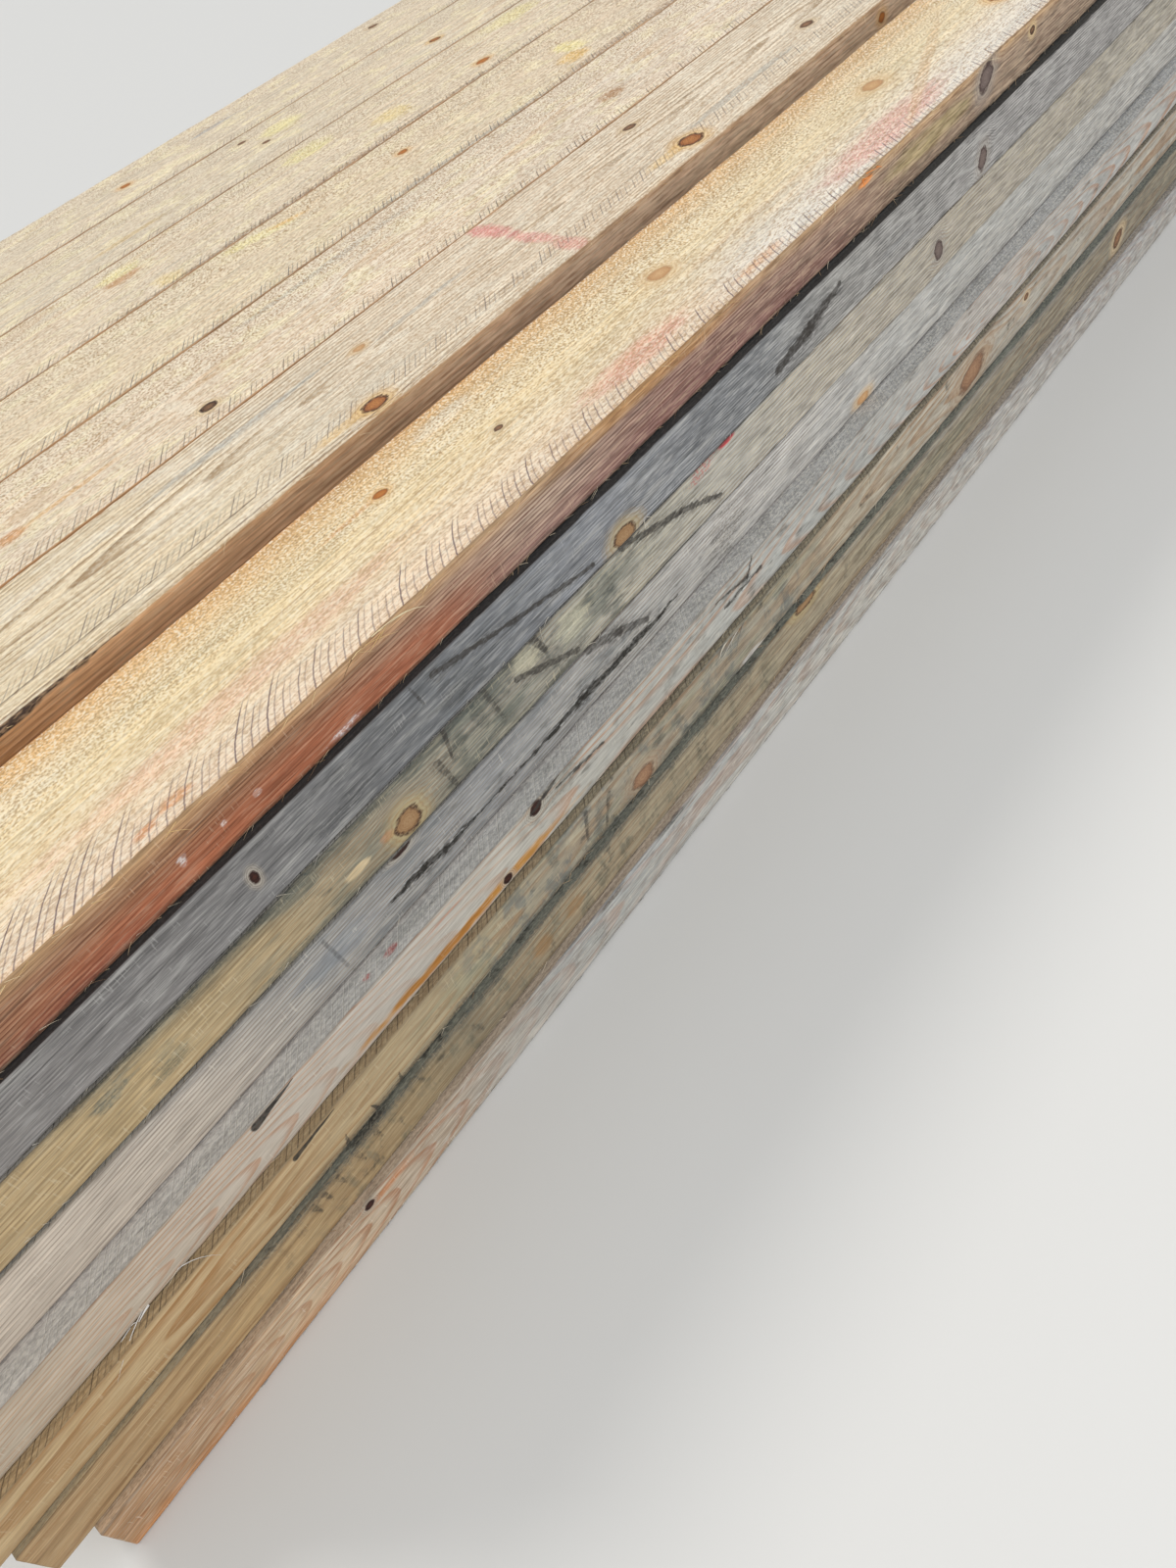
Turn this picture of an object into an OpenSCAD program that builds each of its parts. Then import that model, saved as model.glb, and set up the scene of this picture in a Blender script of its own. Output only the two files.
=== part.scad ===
/* [Boards] */
// Length of the longest run of boards, over the staggered ends
pile_l = 3045; // [1800:5:6100]
// Width of one sawn board
board_w = 150; // [100:1:200]
// Thickness of the boards in most of the courses
board_t = 41; // [22:1:63]
// Thickness of the boards in the three courses under the top one
thick_t = 46.5; // [24:0.5:70]

/* [Pile] */
// Boards side by side in one course
per_course = 7; // [4:1:12]
// Joint between two boards of the top course that lie close
close_joint = 1.5; // [1:0.1:3]
// How far the right-hand board of the top course has been pushed aside
pushed_out = 31; // [10:1:60]
// Lean of the right side: how far the top course stands in from the bottom one
lean_right = 52; // [30:1:90]
// Lean of the left side: how far the bottom course stands in from the top one
lean_left = 36; // [0:1:45]
// How far the board ends are staggered along the pile
end_stagger = 45; // [10:1:80]

/* [Sawing] */
// How far a board's end is cut out of square, across its width
end_skew = 3; // [0.5:0.1:6]
// Radius of the log that the waney boards were sawn from
log_r = 165; // [150:1:220]
// Wane on a board's face, measured from its arris at the waney end
wane_face = 17; // [4:0.5:24]
// Wane on a board's edge, measured from its arris at the waney end
wane_edge = 13; // [4:0.5:20]

/* [Hidden] */
NODES = ["course_1", "course_2", "course_3", "course_4",
         "course_5", "course_6", "course_7", "course_8"];

// Stations along a board's side, which is a shallow curve where the board is crooked
side_steps = 10;
log_facets = 96;
overrun = 20;
top = len(NODES) - 1;
last = per_course - 1;
// The pile's width, from the bottom course's right side to the top course's left
pile_w = per_course * board_w + (last - 1) * close_joint + pushed_out + lean_right;

// Right side of each course, bottom course first: how far it stands in from
// the bottom course at the near end and at the far end, as shares of lean_right
right_near_shares = [0, 0.14, 0.235, 0.40, 0.80, 0.87, 0.92, 1];
right_far_shares = [0, 0.12, 0.33, 0.36, 0.61, 0.52, 0.54, 0.64];
// Crook of each course's right-hand board, as shares of lean_right
crook_shares = [0, 0, 0, 0, 0, 0.03, 0.085, 0];
// Which courses are of the thicker stock
thicker = [false, false, false, false, true, true, true, false];
// Left side of each course, as shares of lean_left
left_near_shares = [1, 0.81, 0.86, 0.58, 0.50, 0.33, 0.22, 0];
left_far_shares = [0.92, 1, 0.72, 0.75, 0.47, 0.44, 0.11, 0];
// Near ends of the right-hand boards, as shares of end_stagger
near_right_shares = [1, 0.45, 0.12, 0.52, 0.3, 0, 0.42, 0.2];
// Ends of all the other boards, as shares of end_stagger
end_shares = [0.35, 0.9, 0.12, 0.62, 0, 0.76, 0.48, 1, 0.24, 0.55, 0.07];
// How far out of square each end is, as shares of end_skew
skew_shares = [0.4, -0.7, 1, -0.2, 0.8, -1, 0.1, 0.6, -0.5];

// Waney boards: course, board from the right, which side and face the arris
// is on (1 right or top, -1 left or bottom), which end (1 near, -1 far), the
// length of the wane as a share of pile_l, and its depth as a share of the most
wanes = [
    [7, 1, 1, 1, 1, 0.2, 0.5],
    [7, 0, 1, -1, -1, 0.6, 0.45],
    [7, last, -1, -1, 1, 0.45, 0.9],
    [5, last, -1, 1, -1, 0.55, 1],
    [3, last, -1, -1, -1, 0.35, 0.8],
    [2, last, -1, 1, 1, 0.6, 0.9],
    [0, last, -1, 1, -1, 0.3, 0.7],
    [6, 3, -1, 1, 1, 0.25, 1],
    [4, 2, 1, -1, 1, 0.2, 0.9],
    [1, 4, -1, 1, -1, 0.3, 1],
    [5, 3, 1, -1, -1, 0.25, 0.8],
];

function mix(a, b, share) = a + (b - a) * share;
function pick(list, i) = list[i % len(list)];

// Thickness of a course's boards, and the height that the course lies at
function thickness(course) = thicker[course] ? thick_t : board_t;
function level(course) = course == 0 ? 0 : level(course - 1) + thickness(course - 1);

// Right side of the course's right-hand board at the near (0) or far (1) end
function right_y(course, end) = -pile_w / 2 + lean_right
    * (end == 0 ? right_near_shares[course] : right_far_shares[course]);
// Left side of the course's left-hand board
function left_y(course, end) = pile_w / 2 - lean_left
    * (end == 0 ? left_near_shares[course] : left_far_shares[course]);
// Joint between two boards when the course is laid evenly
function even_joint(course, end) = (left_y(course, end) - right_y(course, end)
    - per_course * board_w) / last;
// In the top course the right-hand board has been pushed aside, and the rest lie close
function joint(course, end) = course == top ? close_joint : even_joint(course, end);
// Right side of a board, counted from the right: the left-hand board fixes the rest
function board_y(course, i, end) = i == 0 ? right_y(course, end)
    : left_y(course, end) - (per_course - i) * board_w
      - (last - i) * joint(course, end);

// The crook dies out across the course, from the right-hand board to the left
function crook(course, i) = lean_right * crook_shares[course]
    * (1 - i / last);

function near_x(course, i) = -pile_l / 2 + end_stagger
    * (i == 0 ? near_right_shares[course] : pick(end_shares, i * 4 + course * 3));
function far_x(course, i) = pile_l / 2 - end_stagger
    * pick(end_shares, i * 3 + course * 5 + 4);
function near_skew(course, i) = end_skew * pick(skew_shares, i * 2 + course * 5);
function far_skew(course, i) = end_skew * pick(skew_shares, i * 4 + course * 7 + 3);

// The board seen from above: both sides are the same shallow curve, and the
// two ends are a little out of square, never past the stagger's limit
function side(course, i, across, from_x, to_x) = [for (k = [0 : side_steps])
    let (share = k / side_steps,
         x = mix(from_x, to_x, share),
         bow = crook(course, i) * (1 - pow(2 * share - 1, 2)))
    [x, mix(board_y(course, i, 0), board_y(course, i, 1), share) + across - bow]];
function reverse(list) = [for (k = [len(list) - 1 : -1 : 0]) list[k]];
function plan(course, i) =
    let (near = near_x(course, i), far = far_x(course, i),
         skew_n = near_skew(course, i), skew_f = far_skew(course, i))
    concat(side(course, i, 0, near + max(skew_n, 0), far - max(skew_f, 0)),
           reverse(side(course, i, board_w,
                        near + max(-skew_n, 0), far - max(-skew_f, 0))));

// What the log's round outside takes off one arris: a corner block less the log.
// Drawn with the arris along +X from the waney end, the board towards +Y and -Z.
// The log is tilted, so that its surface leaves the arris at the end of the run.
module wane_cut(run, face, edge) {
    chord = norm([face, edge]);
    reach = sqrt(log_r * log_r - chord * chord / 4);
    centre_y = face / 2 + reach * edge / chord;
    centre_z = edge / 2 + reach * face / chord;
    from_arris = norm([centre_y, centre_z]);
    depth = from_arris - log_r;
    fall_y = -depth * centre_y / from_arris;
    rise_z = depth * centre_z / from_arris;
    elevation = atan2(rise_z, norm([run, fall_y]));
    yaw = atan2(fall_y, run);
    difference() {
        translate([-overrun, -overrun, -edge - overrun])
            cube([run + 2 * overrun, face + 2 * overrun, edge + 2 * overrun]);
        translate([0, centre_y, -centre_z])
            rotate([0, 90 - elevation, yaw])
                translate([0, 0, -2 * overrun])
                    cylinder(h = run + 4 * overrun, r = log_r, $fn = log_facets);
    }
}

// The wane cut, put on one arris of one board
module wane_on(w) {
    course = w[0];
    i = w[1];
    from_right = w[2] > 0;
    on_top = w[3] > 0;
    from_near = w[4] > 0;
    end = from_near ? 0 : 1;
    yaw = atan((board_y(course, i, 1) - board_y(course, i, 0))
               / (far_x(course, i) - near_x(course, i)));
    translate([from_near ? near_x(course, i) : far_x(course, i),
               board_y(course, i, end) + (from_right ? 0 : board_w),
               level(course) + (on_top ? thickness(course) : 0)])
        rotate([0, 0, yaw])
            mirror([from_near ? 0 : 1, 0, 0])
                mirror([0, from_right ? 0 : 1, 0])
                    mirror([0, 0, on_top ? 0 : 1])
                        wane_cut(pile_l * w[5], wane_face * w[6], wane_edge * w[6]);
}

module board(course, i) {
    translate([0, 0, level(course)])
        linear_extrude(height = thickness(course))
            polygon(plan(course, i));
}

function wanes_of(course, i) = [for (w = wanes) if (w[0] == course && w[1] == i) w];

module sawn_board(course, i) {
    found = wanes_of(course, i);
    if (len(found) == 0)
        board(course, i);
    else
        difference() {
            board(course, i);
            for (w = found)
                wane_on(w);
        }
}

module course(number, tint) {
    color(tint)
        for (i = [0 : last])
            sawn_board(number, i);
}

module course_1() { course(0, "#a89a80"); }
module course_2() { course(1, "#b09c72"); }
module course_3() { course(2, "#a59468"); }
module course_4() { course(3, "#b3aa94"); }
module course_5() { course(4, "#aea798"); }
module course_6() { course(5, "#a8946a"); }
module course_7() { course(6, "#8f8d88"); }
module course_8() { course(7, "#e2c79d"); }

course_1();
course_2();
course_3();
course_4();
course_5();
course_6();
course_7();
course_8();
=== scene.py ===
"""A stack of sawn timber boards, eight courses of seven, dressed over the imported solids."""
import logging
import math
from dataclasses import dataclass, field
from enum import Enum
from typing import Any, Dict, List, Optional, Sequence, Tuple, Union

import bpy
import numpy as np
from mathutils import Matrix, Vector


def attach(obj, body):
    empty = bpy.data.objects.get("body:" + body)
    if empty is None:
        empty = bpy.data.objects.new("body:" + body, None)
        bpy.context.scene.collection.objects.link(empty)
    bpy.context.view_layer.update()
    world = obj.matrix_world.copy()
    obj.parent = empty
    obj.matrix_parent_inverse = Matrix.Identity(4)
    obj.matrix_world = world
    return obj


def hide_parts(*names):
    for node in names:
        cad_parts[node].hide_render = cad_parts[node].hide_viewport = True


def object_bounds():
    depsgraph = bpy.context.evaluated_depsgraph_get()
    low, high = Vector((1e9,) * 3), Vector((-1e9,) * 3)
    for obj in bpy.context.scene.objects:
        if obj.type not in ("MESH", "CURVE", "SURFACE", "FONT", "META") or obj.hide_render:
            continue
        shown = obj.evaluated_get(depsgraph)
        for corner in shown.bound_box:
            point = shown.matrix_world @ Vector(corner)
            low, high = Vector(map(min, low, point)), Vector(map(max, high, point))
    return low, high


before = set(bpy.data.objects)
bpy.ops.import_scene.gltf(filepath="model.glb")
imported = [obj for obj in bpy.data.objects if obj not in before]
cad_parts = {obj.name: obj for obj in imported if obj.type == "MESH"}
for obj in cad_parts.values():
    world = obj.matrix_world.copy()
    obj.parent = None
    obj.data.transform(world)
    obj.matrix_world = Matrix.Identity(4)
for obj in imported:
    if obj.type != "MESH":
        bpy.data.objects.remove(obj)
CAD_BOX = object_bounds()

Rgb = Tuple[float, float, float]
Pair = Tuple[float, float]
Number = Union["Value", float]

LOG = logging.getLogger("timber")

# How much lighter the boards' edges are than they look in the shade under the top course
SHADE_LIFT = 1.08
# The camera sees the boards up to here along the pile, and finer stations end here
SEEN_TO_X = 0.24
# The log that the waney boards were sawn from, and the wane on a board's face and edge
LOG_RADIUS = 0.165
WANE_FACE = 0.017
WANE_EDGE = 0.013


def paint(red: float, green: float, blue: float, lift: float = 1.0) -> Rgb:
    """Turns a screen colour into linear light.

    Args:
        red: Level from 0 to 255.
        green: Level from 0 to 255.
        blue: Level from 0 to 255.
        lift: Factor on the linear light.

    Returns:
        The three linear levels.
    """
    screen = np.array((red, green, blue)) / 255.0
    linear = np.where(screen <= 0.04045, screen / 12.92, ((screen + 0.055) / 1.055) ** 2.4)
    return tuple(float(level) for level in np.minimum(linear * lift, 0.95))


def shady(red: float, green: float, blue: float) -> Rgb:
    """Turns the screen colour of a shaded edge into the wood's own linear colour."""
    return paint(red, green, blue, SHADE_LIFT)


class Value:
    """One socket of a material, on which sums are written as plain Python."""

    def __init__(self, shade: "Shade", socket: bpy.types.NodeSocket) -> None:
        """Keeps the material's tree and the socket."""
        self.shade = shade
        self.socket = socket

    def math(self, operation: str, *others: Number) -> "Value":
        """Adds a Math node whose first value is this one."""
        terms = dict(enumerate((self, *others)))
        return self.shade.node("ShaderNodeMath", terms, operation=operation)

    def __add__(self, other: Number) -> "Value":
        """The sum."""
        return self.math("ADD", other)

    __radd__ = __add__

    def __sub__(self, other: Number) -> "Value":
        """The difference."""
        return self.math("SUBTRACT", other)

    def __rsub__(self, other: float) -> "Value":
        """A number less this value."""
        return self.shade.node("ShaderNodeMath", {0: other, 1: self}, operation="SUBTRACT")

    def __mul__(self, other: Number) -> "Value":
        """The product."""
        return self.math("MULTIPLY", other)

    __rmul__ = __mul__

    def __truediv__(self, other: Number) -> "Value":
        """The quotient."""
        return self.math("DIVIDE", other)

    def __rtruediv__(self, other: float) -> "Value":
        """A number over this value."""
        return self.shade.node("ShaderNodeMath", {0: other, 1: self}, operation="DIVIDE")

    def rise(self, low: float, high: float) -> "Value":
        """A smooth step, 0 at low and 1 at high; low may be the greater one."""
        inputs = {0: self, 1: low, 2: high, 3: 0.0, 4: 1.0}
        if low > high:
            inputs = {0: self, 1: high, 2: low, 3: 1.0, 4: 0.0}
        return self.shade.node("ShaderNodeMapRange", inputs, interpolation_type="SMOOTHSTEP")


class Shade:
    """One material's nodes, all of which come from one method."""

    def __init__(self, name: str) -> None:
        """Starts an empty material of this name."""
        self.material = bpy.data.materials.new(name)
        self.material.use_nodes = True
        self.tree = self.material.node_tree
        self.tree.nodes.clear()

    def node(self, kind: str, inputs: Optional[Dict[Any, Any]] = None, output: int = 0,
             stops: Sequence[Tuple[float, Rgb]] = (), **settings: Any) -> Value:
        """Adds a node.

        Args:
            kind: The node's type.
            inputs: Values or links by the socket's name or number.
            output: The number of the socket handed back.
            stops: Places and colours of a ramp.
            settings: The node's own settings, made before its sockets are filled.

        Returns:
            The chosen output.
        """
        node = self.tree.nodes.new(kind)
        for name, setting in settings.items():
            setattr(node, name, setting)
        if stops:
            elements = node.color_ramp.elements
            while len(elements) < len(stops):
                elements.new(1.0)
            for element, (place, colour) in zip(elements, stops):
                element.position = place
                element.color = (*colour, 1.0)
        for key, given in (inputs or {}).items():
            if isinstance(given, Value):
                self.tree.links.new(given.socket, node.inputs[key])
            else:
                node.inputs[key].default_value = given
        return Value(self, node.outputs[output]) if node.outputs else None

    def split(self, vector: Value) -> Tuple[Value, Value, Value]:
        """Takes a vector apart into its three numbers."""
        first = self.node("ShaderNodeSeparateXYZ", {0: vector})
        node = first.socket.node
        return first, Value(self, node.outputs[1]), Value(self, node.outputs[2])

    def join(self, x: Number, y: Number, z: Number) -> Value:
        """Puts three numbers together as a vector."""
        return self.node("ShaderNodeCombineXYZ", {0: x, 1: y, 2: z})

    def noise(self, where: Value, stretch: Tuple[float, float, float],
              detail: float = 2.0, rough: float = 0.5) -> Value:
        """Soft noise, 0 to 1 round a half, on the place times the stretch in each direction."""
        scaled = self.node("ShaderNodeVectorMath", {0: where, 1: stretch}, operation="MULTIPLY")
        sockets = {"Vector": scaled, "Scale": 1.0, "Detail": detail, "Roughness": rough}
        return self.node("ShaderNodeTexNoise", sockets)

    def mix(self, under: Any, over: Any, mask: Number, blend: str = "MIX") -> Value:
        """Lays one colour over another as far as the mask says."""
        sockets = {0: mask, 6: self.opaque(under), 7: self.opaque(over)}
        return self.node("ShaderNodeMix", sockets, 2, data_type="RGBA", blend_type=blend)

    def opaque(self, colour: Any) -> Any:
        """Gives a plain colour its fourth number."""
        return (*colour, 1.0) if isinstance(colour, tuple) else colour

    def scaled(self, colour: Value, amount: Number) -> Value:
        """Makes a colour lighter or darker."""
        return self.node("ShaderNodeVectorMath", {0: colour, "Scale": amount}, operation="SCALE")

    def along(self, place: Value, passage: Sequence[Tuple[float, Rgb]]) -> Value:
        """Fades from colour to colour at the given places along the board."""
        first, last = passage[0][0], passage[-1][0]
        share = (place - first) / (last - first)
        stops = [((where - first) / (last - first), colour) for where, colour in passage]
        return self.node("ShaderNodeValToRGB", {0: share}, stops=stops)

    def finish(self, colour: Value, rough: Number, height: Value) -> bpy.types.Material:
        """Ends the material in a matt wood surface.

        Args:
            colour: Base colour.
            rough: Roughness.
            height: Relief in millimetres.

        Returns:
            The finished material.
        """
        sockets = {"Strength": 1.0, "Distance": 0.001, "Height": height}
        normal = self.node("ShaderNodeBump", sockets)
        surface = self.node("ShaderNodeBsdfPrincipled", {
            "Base Color": colour, "Roughness": rough, "Normal": normal,
            "Specular IOR Level": 0.25})
        self.node("ShaderNodeOutputMaterial", {0: surface})
        return self.material


class Part(Enum):
    """Which of a board's surfaces a finish is for."""

    FACE = "face"
    EDGE = "edge"
    END = "end"


class KnotKind(Enum):
    """Heart colour, rim colour and halo colour of a kind of knot, and its bark ring's strength."""

    RINGED = (paint(196, 134, 78), paint(150, 92, 56), paint(232, 190, 120), 0.9)
    ORANGE = (paint(196, 128, 66), paint(170, 104, 52), paint(235, 192, 128), 0.35)
    PALE = (paint(214, 176, 130), paint(192, 146, 102), paint(226, 196, 150), 0.15)
    BLACK = (paint(150, 112, 80), paint(66, 48, 38), paint(236, 206, 156), 0.8)
    BROWN = (paint(162, 122, 90), paint(104, 76, 58), paint(226, 200, 160), 0.6)
    SWIRL = (paint(168, 132, 102), paint(140, 106, 82), paint(178, 156, 130), 0.4)
    RED = (paint(76, 42, 32), paint(40, 24, 20), paint(186, 176, 160), 0.7)
    TAN = (paint(166, 134, 98), paint(146, 112, 78), paint(190, 170, 124), 0.75)
    GREY = (paint(128, 112, 104), paint(100, 86, 82), paint(168, 160, 150), 0.7)


@dataclass(frozen=True)
class Knot:
    """A round or oval knot: where it is, how long and wide, in metres."""

    along: float
    across: float
    long: float
    wide: float
    kind: KnotKind
    tilt: float = 0.0


@dataclass(frozen=True)
class Patch:
    """A stain or sprayed mark: an oval with a ragged rim, which may be grainy."""

    along: float
    across: float
    long: float
    wide: float
    tint: Rgb
    strength: float = 0.6
    ragged: float = 0.5
    grainy: float = 0.0
    tilt: float = 0.0


@dataclass(frozen=True)
class Band:
    """A stripe along the board that fades from one distance across to another."""

    full: float
    none: float
    tint: Rgb
    strength: float = 0.6
    start: float = -2.0
    stop: float = 2.0
    grainy: float = 0.0


@dataclass(frozen=True)
class Crack:
    """A thin dark line between two places, which may narrow to a wedge or be broken up."""

    start: Pair
    stop: Pair
    width: float = 0.0012
    jagged: float = 0.003
    tint: Rgb = paint(52, 44, 38)
    strength: float = 0.85
    end_width: Optional[float] = None
    broken: float = 0.0
    smudge: float = 0.0


def trail(points: Sequence[Pair], widths: Sequence[float], tint: Rgb, strength: float = 0.9,
          jagged: float = 0.003, broken: float = 0.2) -> Tuple[Crack, ...]:
    """A ragged mark through several places, each stretch running on from the one before."""
    return tuple(Crack(start, stop, width, jagged, tint, strength, after, broken, 0.35)
                 for start, stop, width, after in zip(points, points[1:], widths, widths[1:]))


@dataclass(frozen=True)
class Pith:
    """Where the log's heart line crosses a surface, how steeply, and how far on it does so again."""

    along: float
    across: float
    slope: float = 0.03
    again: float = 6.0


@dataclass(frozen=True)
class Hatch:
    """Slanting saw scratches beside the board's right arris."""

    near_length: float = 0.045
    far_length: float = 0.02
    pitch: float = 0.0098
    slant: float = 1.0
    strength: float = 0.6
    tint: Rgb = paint(128, 110, 104)
    offset: float = 0.0
    bend: float = 0.0


@dataclass(frozen=True)
class Mottle:
    """Blue stain and mould in clouds that follow the grain."""

    tint: Rgb
    strength: float = 0.5
    cover: float = 0.5
    start: float = -2.0
    stop: float = 2.0
    length: float = 9.0
    fine: float = 70.0


@dataclass(frozen=True)
class WoodFinish:
    """The finish of one surface of sawn wood, as its own material."""

    name: str
    part: Part
    passage: Tuple[Tuple[float, Rgb], ...]
    late: Rgb = paint(204, 164, 116)
    late_strength: float = 0.3
    ring: float = 0.0032
    taper: float = 0.012
    wave: float = 0.012
    fibre: float = 0.10
    cloudy: float = 0.4
    weather: float = 0.4
    fuzz: float = 0.5
    pale: Rgb = paint(250, 238, 214)
    pit: Rgb = paint(176, 144, 106)
    ripple: float = 0.0
    arris_wear: float = 0.0
    arris_tint: Rgb = paint(120, 104, 90)
    pith: Optional[Pith] = None
    early: float = 0.25
    lines: float = 0.3
    hairs: float = 0.0
    crumbs: Optional[Pair] = None
    crumb_size: float = 0.0018
    bark_stretch: Pair = (-1.15, -1.0)
    fold: float = 0.30
    mid_line: Optional[float] = None
    hatch: Optional[Hatch] = None
    mottles: Tuple[Mottle, ...] = ()
    knots: Tuple[Knot, ...] = ()
    patches: Tuple[Patch, ...] = ()
    bands: Tuple[Band, ...] = ()
    cracks: Tuple[Crack, ...] = ()

    def material(self) -> bpy.types.Material:
        """Builds the material, from the growth rings up to the marks on the surface."""
        self_shade = Shade(self.name)
        surface = WoodSurface(self_shade, self)
        if self.part is Part.END:
            return surface.end_grain()
        return surface.long_grain()


class WoodSurface:
    """Works out one finish's nodes: places on the board, rings, marks and relief."""

    board_width = 0.150

    def __init__(self, shade: Shade, finish: WoodFinish) -> None:
        """Reads the board's own coordinates from its attributes."""
        self.shade = shade
        self.finish = finish
        place = shade.node("ShaderNodeAttribute", output=1, attribute_name="place")
        heart = shade.node("ShaderNodeAttribute", output=1, attribute_name="heart")
        self.x, self.across, self.up = shade.split(place)
        self.pith_across, self.pith_up, self.phase = shade.split(heart)
        self.thick = shade.node("ShaderNodeAttribute", output=2, attribute_name="thick")
        shift = shade.node("ShaderNodeVectorMath", {0: shade.join(3.1, 1.7, 2.3),
                           "Scale": self.phase}, operation="SCALE")
        self.place = shade.node("ShaderNodeVectorMath", {0: place, 1: shift}, operation="ADD")
        beyond = (self.x - finish.fold).math("MAXIMUM", 0.0)
        # Past the fold, which the photograph doesn't reach, the marks come again in reverse
        self.seen = self.x - beyond * 2.2
        self.side = self.across if finish.part is Part.FACE else self.up
        # Towards the middle of the stack the wood is rougher and more weathered
        self.far = self.seen.rise(-1.15, -0.5)
        self.ragged = shade.noise(self.place, (38.0, 190.0, 190.0), 3.0, 0.6) - 0.5
        self.grains = shade.noise(self.place, (420.0, 900.0, 900.0), 1.0)
        self.height = None

    def oval(self, along: float, across: float, long: float, wide: float, tilt: float) -> Value:
        """Distance from an oval's middle, 1 on its rim, with the oval turned by the tilt."""
        run = self.seen - along
        rise = self.side - across
        cosine, sine = math.cos(tilt), math.sin(tilt)
        first = (run * cosine + rise * sine) / long if tilt else run / long
        second = (rise * cosine - run * sine) / wide if tilt else rise / wide
        return (first * first + second * second).math("SQRT")

    def rings(self, spread: Value) -> Tuple[Value, Value]:
        """Growth rings as distance from the log's heart line, over the ring width.

        The heart line runs along the board, tapers towards its top end and waves softly.
        The grain parts round each knot, as far as the spread says.

        Args:
            spread: How far the grain is moved across by the knots.

        Returns:
            How near a point is to dark late wood, and the distance from the heart.
        """
        finish = self.finish
        soft = self.shade.noise(self.place, (1.5, 7.0, 7.0), 2.0) - 0.5
        fine = self.shade.noise(self.place, (14.0, 60.0, 60.0), 2.0) - 0.5
        moved = self.side - spread
        if finish.pith:
            flat = moved - finish.pith.across + soft * finish.wave
            pace = math.pi / finish.pith.again
            swing = ((self.seen - finish.pith.along + soft * 0.12) * pace).math("SINE")
            tall = swing * (finish.pith.slope / pace)
        else:
            across = moved if finish.part is Part.FACE else self.across
            up = self.up if finish.part is Part.FACE else moved
            flat = across - self.pith_across + soft * finish.wave
            tall = up - self.pith_up + self.x * finish.taper + soft * (0.5 * finish.wave)
        radius = (flat * flat + tall * tall).math("SQRT") + fine * (0.45 * finish.ring)
        turn = (radius / finish.ring + self.phase).math("FRACT")
        late = turn.rise(finish.early, 0.9) * turn.rise(1.0, 0.93)
        return late, radius

    def knots(self, colour: Value, distances: Sequence[Value]) -> Value:
        """Lays each knot over the colour: the grain round it, bark ring and its own small rings."""
        shade = self.shade
        speck = self.grains.rise(0.38, 0.62)
        for knot, distance in zip(self.finish.knots, distances):
            heart, rim, halo, bark = knot.kind.value
            rough = distance + self.ragged * 0.9
            flow = (rough * 2.6).math("FRACT").rise(0.45, 0.95) * rough.rise(3.0, 1.3)
            colour = shade.mix(colour, halo, rough.rise(2.6, 1.0) * 0.6)
            colour = shade.mix(colour, rim, flow * 0.4)
            inside = rough.rise(1.1, 0.88)
            small = (rough * 4.5).math("FRACT").rise(0.35, 0.9) * 0.45 + speck * 0.35
            middle = shade.mix(heart, rim, (rough.rise(0.1, 1.0) * 0.6 + small).math("MINIMUM", 1.0))
            colour = shade.mix(colour, middle, inside)
            ring = rough.rise(0.72, 0.96) * rough.rise(1.26, 1.02) * (speck * 0.7 + 0.45)
            colour = shade.mix(colour, paint(58, 36, 32), ring * bark)
            split = (self.ragged + 0.5).rise(0.62, 0.72) * rough.rise(0.7, 0.3)
            colour = shade.mix(colour, paint(60, 40, 32), split * (0.5 * bark))
            self.relief(ring * (-0.5 * bark) + inside * 0.15)
        return colour

    def relief(self, more: Value) -> None:
        """Adds to the surface's height, in millimetres."""
        self.height = more if self.height is None else self.height + more

    def patched(self, colour: Value) -> Value:
        """Lays stains, stripes and clouds of blue stain over the colour."""
        shade = self.shade
        speckle = self.grains.rise(0.47, 0.6)
        for mottle in self.finish.mottles:
            cloud = shade.noise(self.place, (mottle.length, mottle.fine, mottle.fine), 3.0, 0.68)
            edge = 0.72 - 0.4 * mottle.cover
            reach = self.seen.rise(mottle.start - 0.06, mottle.start + 0.06)
            reach = reach * self.seen.rise(mottle.stop + 0.06, mottle.stop - 0.06)
            mask = cloud.rise(edge - 0.07, edge + 0.1) * reach * mottle.strength
            colour = shade.mix(colour, mottle.tint, mask)
        for band in self.finish.bands:
            wavy = self.side + self.ragged * (0.35 * (band.none - band.full))
            mask = wavy.rise(band.none, band.full) * band.strength
            if band.start > -2.0 or band.stop < 2.0:
                mask = mask * self.seen.rise(band.start - 0.05, band.start + 0.05)
                mask = mask * self.seen.rise(band.stop + 0.05, band.stop - 0.05)
            if band.grainy:
                mask = mask * (speckle * band.grainy + (1.0 - band.grainy))
            colour = shade.mix(colour, band.tint, mask)
        for patch in self.finish.patches:
            distance = self.oval(patch.along, patch.across, patch.long, patch.wide, patch.tilt)
            mask = (distance + self.ragged * patch.ragged * 2.0).rise(1.25, 0.55) * patch.strength
            if patch.grainy:
                mask = mask * (speckle * patch.grainy + (1.0 - patch.grainy))
            colour = shade.mix(colour, patch.tint, mask)
        return colour

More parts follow.
